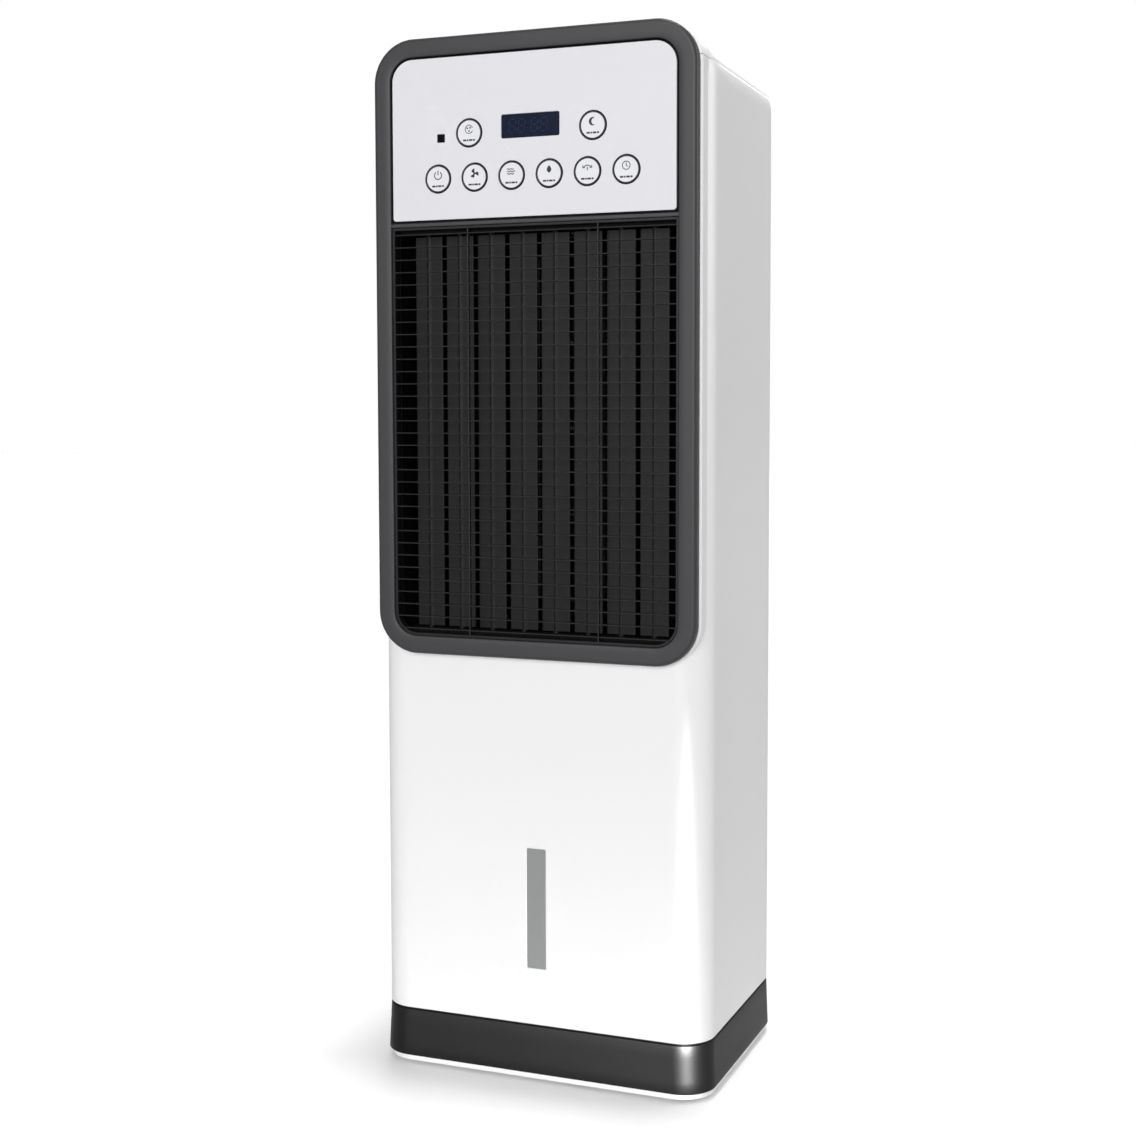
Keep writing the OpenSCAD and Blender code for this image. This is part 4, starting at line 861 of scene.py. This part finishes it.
class Print:
    """Flat printed marks on a face that looks towards -Y, about a centre. Sizes are in millimetres, times a
    scale."""

    def __init__(self, centre, y, thickness, scale=1.0):
        self.shape = bmesh.new()
        self.centre, self.y, self.thickness, self.unit = centre, y, thickness * MM, scale * MM

    def strip(self, edges):
        """Quads between pairs of points, made into a solid as thick as the ink."""
        rows = []
        for pair in edges:
            places = [(self.centre.x + x * self.unit, self.y + dy, self.centre.z + z * self.unit)
                      for dy in (-self.thickness, 0) for x, z in pair]
            rows.append([self.shape.verts.new(p) for p in places])
        for a, b in zip(rows, rows[1:]):
            for i, j in ((0, 1), (1, 3), (3, 2), (2, 0)):
                self.shape.faces.new((a[i], a[j], b[j], b[i]))
        for row in (rows[0], rows[-1]):
            self.shape.faces.new((row[0], row[1], row[3], row[2]))

    def line(self, points, width):
        """A line of even width through points."""
        edges = []
        for i, (x, z) in enumerate(points):
            before, after = points[max(i - 1, 0)], points[min(i + 1, len(points) - 1)]
            along = Vector((after[0] - before[0], after[1] - before[1])).normalized()
            across = Vector((-along.y, along.x)) * width / 2
            edges.append(((x - across.x, z - across.y), (x + across.x, z + across.y)))
        self.strip(edges)

    def arc(self, x, z, radius, start, stop, width, steps=20):
        self.line(arc((x, z), radius, start, stop, steps), width)

    def leaf(self, x, z, turn, length, width, steps=10):
        """A blade shape that starts at a point and points along a turn in degrees."""
        along = Vector((math.cos(math.radians(turn)), math.sin(math.radians(turn))))
        across = Vector((-along.y, along.x))
        edges = []
        for i in range(steps + 1):
            t = i / steps
            wide = width * max(math.sin(math.pi * t) ** 0.8, 0.02)
            mid = Vector((x, z)) + along * length * t + across * width * 0.5 * math.sin(math.pi * t)
            edges.append(((mid - across * wide / 2)[:], (mid + across * wide / 2)[:]))
        self.strip(edges)

    def mesh(self):
        return mesh_from(self.shape, 40)


def caption(ink):
    """A short row of dashes in place of a caption."""
    x, z, gap = -4.1, -4.6, 0.4
    for length in (2.2, 1.1, 2.4, 1.3):
        ink.line([(x, z), (x + length, z)], 1.1)
        x += length + gap


def symbol_power(ink):
    ink.arc(0, 2.2, 2.5, 125, 415, 0.6)
    ink.line([(0, 2.4), (0, 5.3)], 0.6)


def symbol_speed(ink):
    for turn in (90, 210, 330):
        ink.leaf(0, 2.3, turn, 3.2, 2.0)
    ink.arc(0, 2.3, 0.35, 0, 359, 0.65, 12)


def symbol_wind(ink):
    for rise, reach in ((3.8, 2.2), (2.3, 3.1), (0.8, 2.5)):
        ink.line([(-3 + 0.3 * i, rise + 0.35 * math.sin(i * 0.9)) for i in range(int(reach / 0.3) + 9)], 0.5)


def symbol_cooling(ink):
    left = [(-1.9 * math.sin(math.pi * t) ** 0.9 * (1 - 0.45 * t), 0.2 + 4.8 * t) for t in
            (i / 14 for i in range(15))]
    ink.strip([((x - 0.02, z), (-x + 0.02, z)) for x, z in left])


def symbol_swing(ink):
    ink.arc(0, 0.4, 3.2, 40, 140, 0.55)
    for side in (-1, 1):
        tip = (side * 3.0, 2.1)
        ink.line([(tip[0] - side * 1.5, tip[1] + 0.1), tip, (tip[0] - side * 0.1, tip[1] + 1.6)], 0.55)
    ink.line([(0, 0.6), (0, 2.6)], 0.55)


def symbol_timer(ink):
    ink.arc(0, 2.3, 2.5, 0, 359.9, 0.5, 32)
    ink.line([(0, 3.9), (0, 2.3), (1.2, 1.5)], 0.5)


def symbol_ioniser(ink):
    ink.arc(0, 2.2, 2.6, 20, 340, 0.45)
    for x, z in ((-1.1, 2.9), (0.9, 3.1), (0.1, 1.1)):
        ink.arc(x, z, 0.3, 0, 359, 0.55, 10)


def symbol_sleep(ink):
    outer = arc((0, 2.3), 2.6, 60, 300, 18)
    inner = arc((1.25, 2.3), 2.15, 80, 280, 18)
    ink.strip(list(zip(outer, inner)))


KEYS = (("power", symbol_power), ("speed", symbol_speed), ("wind", symbol_wind), ("cooling", symbol_cooling),
        ("swing", symbol_swing), ("timer", symbol_timer), ("ioniser", symbol_ioniser),
        ("sleep", symbol_sleep))


def keys():
    """Eight round keys: a pale dished cap in a dark rim, with a symbol and a row of dashes on it. The rim's
    black is painted shade, standing in for the dark gap round the cap.
    """
    rim, rim_round, cap_round, dish, skirt = 1.05 * MM, 0.3 * MM, 0.12 * MM, 0.12 * MM, 2.4 * MM
    lead_in, stem_r, ink_depth, symbol_scale = 0.15 * MM, 3 * MM, 0.1, 1.28
    for name, symbol in KEYS:
        node = "button_" + name
        low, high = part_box(node)
        middle, body = (low + high) / 2, BODY_OF[node]
        radius, front, back = (high.x - low.x) / 2, low.y, low.y + skirt
        cap_r, axis = radius - rim, (middle.x, middle.z)
        cap = [(0, front + dish), (cap_r * 0.5, front + dish * 0.9), (cap_r * 0.85, front + dish * 0.45),
               (cap_r - cap_round, front + dish * 0.3), (cap_r, front + dish * 0.3 + cap_round),
               (cap_r, back), (stem_r, back), (stem_r, high.y), (0, high.y)]
        cap_mesh = mesh_from(turned(cap, axis), 40)
        add_piece(node + "_cap", cap_mesh, "key_plastic", body, (node,))
        edge = [(cap_r, back), (cap_r, front + lead_in), (cap_r + lead_in, front),
                (radius - rim_round, front)]
        edge += arc((radius - rim_round, front + rim_round), rim_round, -60, 0, 2)
        edge.append((radius, back))
        # Black rim round the cap: painted shade for the dark gap between the key and the panel.
        gap_shade_rim_mesh = mesh_from(turned(edge, axis, closed=True), 40)
        add_piece(node + "_rim", gap_shade_rim_mesh, "ink_and_painted_gap_shade", body)
        ink = Print(middle, front + dish * 0.9, ink_depth, symbol_scale)
        symbol(ink)
        caption(ink)
        add_piece(node + "_print", ink.mesh(), "ink_and_painted_gap_shade", body)


def display():
    """Dark display window with the segments of four unlit digits behind it."""
    low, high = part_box("display_lens")
    rounded_copy("display_lens", 0.35, "display_glass")
    centre = (low + high) / 2
    ink = Print(centre, low.y, 0.015)
    half_w, half_h, pen, slant, gap = 2.8, 5.25, 1.15, 0.12, 0.9
    for x in (-15.6, -7.4, 3.6, 11.8):
        for z in (-half_h, 0, half_h):
            ink.line([(x - half_w + gap + z * slant, z), (x + half_w - gap + z * slant, z)], pen)
        for side in (-half_w, half_w):
            for base in (-half_h, 0):
                ink.line([(x + side + h * slant, h) for h in (base + gap, base + half_h - gap)], pen)
    colon_x, dot = -1.9, 1.1
    for z in (-2.2, 2.2):
        ink.line([(colon_x - dot / 2 + z * slant, z), (colon_x + dot / 2 + z * slant, z)], dot)
    add_piece("display_segments", ink.mesh(), "unlit_segments", "cabinet")


def control_panel():
    """Panel, infra-red window, keys and display."""
    rounded_copy("control_panel", 0.3, "panel_film", 3)
    rounded_copy("ir_window", 0.2, "infrared_plastic")
    keys()
    display()


# ---------------------------------------------------------------- air outlet

def guard():
    """Black finger guard: a rim, thin fins one above another, and two upright ribs behind them."""
    low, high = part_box("outlet_grille")
    corner, rim, fin_d, fin_t, pitch = 19.7 * MM, 2.2 * MM, 4 * MM, 1 * MM, 10.2 * MM
    rib_x, rib_d, rib_t, rib_sink = 56.8 * MM, 3 * MM, 1.2 * MM, 1 * MM
    half, height = high.x, high.z - low.z
    count = math.floor(height / pitch)
    middle = (low.z + high.z) / 2
    fins = grown(SLATS, {"Length": 2 * half - 1 * MM, "Depth": fin_d, "Thickness": fin_t,
                         "Edge Radius": 0.35 * MM, "Edge Steps": 3, "Count": count, "Pitch": pitch,
                         "Corner Radius": corner, "Corner Drop": height / 2 - corner,
                         "Place": (0, low.y + fin_d / 2, middle), "Finish": MATERIAL["guard_plastic"]})
    ribs = [grown(SLATS, {"Length": height - 1 * MM, "Depth": rib_d, "Thickness": rib_t,
                          "Edge Radius": 0.3 * MM, "Count": 1, "Turn": (0, math.pi / 2, 0),
                          "Place": (x, low.y + rib_sink + rib_d / 2, middle),
                          "Finish": MATERIAL["guard_plastic"]}) for x in (-rib_x, rib_x)]
    shape = bmesh.new()
    profile = [(half - rim, low.y + 0.4 * MM), (half - rim + 0.4 * MM, low.y), (half - 0.3 * MM, low.y),
              (half, low.y + 0.3 * MM), (half, high.y), (half - rim, high.y)]
    rings = []
    for edge, y in profile:
        inset = half - edge
        bottom, top, r = low.z + inset, high.z - inset, max(corner - inset, 1 * MM)
        path = [(edge, top), (-edge, top)]
        path += arc((-edge + r, bottom + r), r, 180, 270, 12) + arc((edge - r, bottom + r), r, 270, 360, 12)
        rings.append([(x, y, z) for x, z in path])
    loft(shape, rings, closed=True)
    mesh = merged([mesh_from(shape), fins, *ribs])
    add_piece("guard", mesh, "guard_plastic", "cabinet", ("outlet_grille",))


def louvres():
    """Eight wide upright louvres behind the guard."""
    for i in range(1, 9):
        rounded_copy(f"louvre_{i}", 0.35, "louvre_plastic")


# ---------------------------------------------------------------- base

def wall_ring(shape, outline, profile):
    """Closed wall that follows an outline. profile is (how far out, z); outline(out) gives the points."""
    rings = [[(x, y, z) for x, y in outline(out)] for out, z in profile]
    loft(shape, rings, closed=True)


def base_band():
    """Glossy band that flares to its foot, with the lip that carries the shell inside it."""
    low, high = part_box("base_band")
    body_half, corner, wall, band_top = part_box("main_shell")[1].x, Body.corner, Body.wall, low.z + 40 * MM
    flare = high.x - body_half
    front = low.y + flare

    def outline(out):
        """Plan of the body moved out by a distance, but never behind the flat back."""
        back = min(high.y, high.y + out)
        half_y = (back - front + out) / 2
        middle = (back + front - out) / 2
        corners = rounded_rectangle(body_half + out, half_y, corner + min(out, 0), 20)
        return [(x, middle + y) for x, y in corners]

    edge, foot = 0.9 * MM, 0.7 * MM
    profile = [(flare - foot, low.z)] + arc((flare - foot, low.z + foot), foot, -60, 0, 2)
    profile += [(flare * (1 - share), low.z + foot + (band_top - edge - low.z - foot) * share)
                for share in (0.25, 0.5, 0.75, 1.0)]
    profile += arc((-edge, band_top - edge), edge, 30, 90, 2)
    profile += [(-wall, band_top), (-wall, low.z)]
    shape = bmesh.new()
    wall_ring(shape, outline, profile)
    add_piece("band", mesh_from(shape, 40), "band_plastic", "cabinet", ("base_band",))
    lip_low, lip_out, lip_in = band_top - 6 * MM, -2.7 * MM, -4.7 * MM
    open_half, open_depth = 140 * MM, 30 * MM
    shape = bmesh.new()
    wall_ring(shape, outline, [(lip_out, lip_low), (lip_out, high.z), (lip_in, high.z), (lip_in, lip_low)])
    cut = [v for v in shape.verts if v.co.y > high.y - open_depth and abs(v.co.x) < open_half]
    bmesh.ops.delete(shape, geom=cut, context="VERTS")
    bmesh.ops.holes_fill(shape, edges=shape.edges, sides=8)
    add_piece("band_lip", mesh_from(shape, 40), "band_plastic", "cabinet")


def feet():
    """Four rubber feet with ribbed sides."""
    low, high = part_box("feet")
    radius, height, stud = 18 * MM, 3 * MM, 5 * MM
    profile = [(0, low.z), (radius - 5 * MM, low.z + 0.01 * MM), (radius - 1 * MM, low.z),
               (radius - 0.3 * MM, low.z + 0.4 * MM), (radius, low.z + 1 * MM),
               (radius - 0.5 * MM, low.z + 1.5 * MM), (radius, low.z + 2 * MM), (radius, low.z + height),
               (stud, low.z + height), (stud, high.z), (0, high.z)]
    shape = turned(profile, (0, 0), 56)
    bmesh.ops.rotate(shape, verts=shape.verts, cent=(0, 0, 0), matrix=Matrix.Rotation(math.pi / 2, 3, "X"))
    seed = linked("foot_seed", mesh_from(shape, 40))
    middle = (low + high) / 2
    mesh = grown(COPIES, {"Piece": seed, "Columns": 2, "Rows": 2, "Width": high.x - low.x - 2 * radius,
                          "Height": high.y - low.y - 2 * radius, "Place": (middle.x, middle.y, 0),
                          "Finish": MATERIAL["rubber"]})
    bpy.data.objects.remove(seed)
    add_piece("rubber_feet", mesh, "rubber", "cabinet", ("feet",))


# ---------------------------------------------------------------- back

def inlet_panel():
    """Slatted inlet panel with its dust net, which pull out together."""
    low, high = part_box("rear_grille")
    depth, rim = 7 * MM, 7 * MM
    front = high.y - depth
    middle = (low.z + high.z) / 2
    half_x, half_z = high.x, (high.z - low.z) / 2
    soft = 0.8 * MM
    profile = [(0, front), (-rim, front), (-rim, high.y - soft), (-rim + soft, high.y), (-soft, high.y),
               (-soft * 0.3, high.y - soft * 0.3), (0, high.y - soft)]
    frame_mesh = upright_frame(middle, half_x, half_z, 4 * MM, 6, profile, least=1 * MM)
    finish = MATERIAL["white_shell_plastic"]
    pitch, bar_pitch, tab_x, tab = 9 * MM, 32 * MM, 60 * MM, 3 * MM
    count = math.floor((2 * half_z - 2 * rim) / pitch)
    slats = grown(SLATS, {"Length": 2 * (half_x - rim + 1 * MM), "Depth": 4 * MM, "Thickness": 2 * MM,
                          "Edge Radius": 0.8 * MM, "Edge Steps": 4, "Count": count, "Pitch": pitch,
                          "Place": (0, high.y - 3 * MM, middle), "Finish": finish})
    bars = [grown(SLATS, {"Length": 2 * half_z - 4 * MM, "Depth": 4 * MM, "Thickness": 2.4 * MM,
                          "Edge Radius": 0.4 * MM, "Count": 1, "Turn": (0, math.pi / 2, 0),
                          "Place": (i * bar_pitch, high.y - 4 * MM, middle), "Finish": finish})
            for i in range(-2, 3)]
    tabs = [grown(SLATS, {"Length": 16 * MM, "Depth": tab, "Thickness": tab, "Edge Radius": 0.5 * MM,
                          "Count": 1, "Place": (x, low.y + tab / 2, high.z - 3.5 * MM), "Finish": finish})
            for x in (-tab_x, tab_x)]
    mesh = merged([frame_mesh, slats, *bars, *tabs])
    add_piece("inlet_panel", mesh, "white_shell_plastic", "inlet_panel",
              ("rear_grille",))
    dust_net()


def dust_net():
    """Fine net in a thin frame, with two stiffening bars."""
    low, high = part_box("dust_filter")
    middle = (low + high) / 2
    half_x, half_z = high.x, (high.z - low.z) / 2
    border, thread, pitch = 5 * MM, 0.45 * MM, 1.7 * MM
    profile = [(0, low.y), (-border, low.y), (-border, high.y), (0, high.y)]
    frame_mesh = upright_frame(middle.z, half_x, half_z, 3 * MM, 4, profile, least=0.5 * MM)
    finish = MATERIAL["filter_net"]
    wide, tall = 2 * half_x - border, 2 * half_z - border
    across = grown(SLATS, {"Length": wide, "Depth": thread, "Thickness": thread, "Edge Radius": 0.0,
                           "Edge Steps": 1, "Count": int(tall / pitch), "Pitch": pitch,
                           "Place": (0, middle.y, middle.z), "Finish": finish})
    upright = grown(SLATS, {"Length": tall, "Depth": thread, "Thickness": thread, "Edge Radius": 0.0,
                            "Edge Steps": 1, "Count": int(wide / pitch), "Pitch": pitch,
                            "Turn": (0, math.pi / 2, 0), "Place": (0, middle.y + thread * 0.4, middle.z),
                            "Finish": finish})
    bars = grown(SLATS, {"Length": wide, "Depth": 2 * MM, "Thickness": 3 * MM, "Edge Radius": 0.4 * MM,
                         "Count": 2, "Pitch": tall / 3, "Place": (0, middle.y, middle.z), "Finish": finish})
    mesh = merged([frame_mesh, across, upright, bars])
    add_piece("dust_net", mesh, "filter_net", "inlet_panel", ("dust_filter",))


def cooling_pad():
    """Pad of corrugated paper sheets whose flutes cross."""
    low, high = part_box("cooling_pad")
    size, middle = high - low, (low + high) / 2
    wave, play, paper = 4 * MM, 0.6 * MM, 0.25 * MM
    mesh = grown(FLUTES, {"Width": size.x - wave, "Depth": size.y - play, "Height": size.z - play,
                          "Sheets": 52, "Wave Pitch": 9 * MM, "Wave Height": wave, "Points Up": 220,
                          "Points Deep": 4, "Place": middle[:], "Finish": MATERIAL["pad_paper"]})
    mesh = smooth(finished(mesh, [("SOLIDIFY", {"thickness": paper, "offset": 0.0, "use_rim": True})]), 60)
    add_piece("paper_pad", mesh, "pad_paper", "cabinet", ("cooling_pad",))


def screws():
    """Twelve pan-head screws with cross recesses."""
    low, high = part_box("case_screws")
    head, shank = 3.2 * MM, 1.6 * MM
    outer, head_t = high.y, 1.8 * MM
    profile = [(0, outer), (head * 0.5, outer - 0.08 * MM), (head * 0.8, outer - 0.3 * MM),
               (head * 0.96, outer - 0.7 * MM), (head, outer - 1.1 * MM), (head, outer - head_t),
               (shank, outer - head_t), (shank, low.y + 1 * MM), (0, low.y)]
    head_mesh = mesh_from(turned(profile, (0, 0), 28), 40)
    slot_long, slot_wide, slot_deep = 3.4 * MM, 0.75 * MM, 1.5 * MM
    cutter = bmesh.new()
    for x, z in ((slot_long, slot_wide), (slot_wide, slot_long)):
        bmesh.ops.create_cube(cutter, size=1, matrix=Matrix.Translation((0, outer, 0))
                              @ Matrix.Diagonal((x, slot_deep, z, 1)))
    cut = linked("recess", mesh_from(cutter))
    mesh = finished(head_mesh, [("BOOLEAN", {"object": cut, "operation": "DIFFERENCE", "solver": "EXACT",
                                             "use_self": True})])
    bpy.data.objects.remove(cut)
    seed = linked("screw_seed", smooth(mesh, 35))
    middle = (low + high) / 2
    mesh = grown(COPIES, {"Piece": seed, "Columns": 2, "Rows": 6, "Width": high.x - low.x - 2 * head,
                          "Height": high.z - low.z - 2 * head, "Turn": (math.pi / 2, 0, 0),
                          "Place": (0, 0, middle.z), "Finish": MATERIAL["zinc_plate"]})
    bpy.data.objects.remove(seed)
    add_piece("cover_screws", mesh, "zinc_plate", "cabinet", ("case_screws",))


# ---------------------------------------------------------------- everything else

ROUNDED = (
    ("rear_cover", 0.4, "white_shell_plastic"), ("tank_fascia", 0.5, "white_shell_plastic"),
    ("tank_latch", 0.4, "ring_plastic"), ("drain_plug", 0.4, "ring_plastic"),
    ("base_plate", 0.8, "plate_plastic"), ("level_window", 0.25, "window_plastic"),
    ("water_tank", 0.5, "tank_plastic"), ("pump_body", 0.8, "pump_plastic"),
    ("pump_impeller", 0.2, "natural_plastic"), ("cord_gland", 0.5, "inside_black_plastic"),
    ("outlet_duct", 0.3, "inside_black_plastic"), ("link_bar", 0.3, "louvre_plastic"),
    ("swing_crank", 0.3, "natural_plastic"), ("pad_frame", 0.4, "natural_plastic"),
    ("water_tray", 0.4, "natural_plastic"), ("mid_deck", 0.5, "natural_plastic"))
PAINTED = (
    ("panel_housing", "inside_black_plastic"), ("display_module", "inside_black_plastic"),
    ("control_board", "solder_resist"), ("tact_switches", "inside_black_plastic"),
    ("swing_motor", "plated_steel"), ("fan_scroll", "inside_black_plastic"),
    ("fan_bush", "sintered_bronze"), ("fan_rotor", "rotor_plastic"), ("fan_shaft", "ground_steel"),
    ("motor_plate", "inside_black_plastic"), ("fan_motor", "plated_steel"), ("riser_pipe", "pipe_plastic"),
    ("power_board", "solder_resist"))


def paint(node, material):
    """Gives a CAD node its finish without touching its mesh."""
    data = NODES[node].data
    if not data.materials:
        data.materials.append(MATERIAL[material])
    for slot in NODES[node].material_slots:
        slot.material = MATERIAL[material]


make_camera()
make_lights()
make_floor()
MATERIAL = make_materials()
SLATS, COPIES, FLUTES = slat_group(), copies_group(), flute_group()
for node, material in PAINTED:
    paint(node, material)
for node, width, material in ROUNDED:
    rounded_copy(node, width, material)
white_shells()
front_ring()
control_panel()
guard()
louvres()
base_band()
feet()
inlet_panel()
cooling_pad()
screws()

bpy.context.scene.view_settings.view_transform = "Standard"
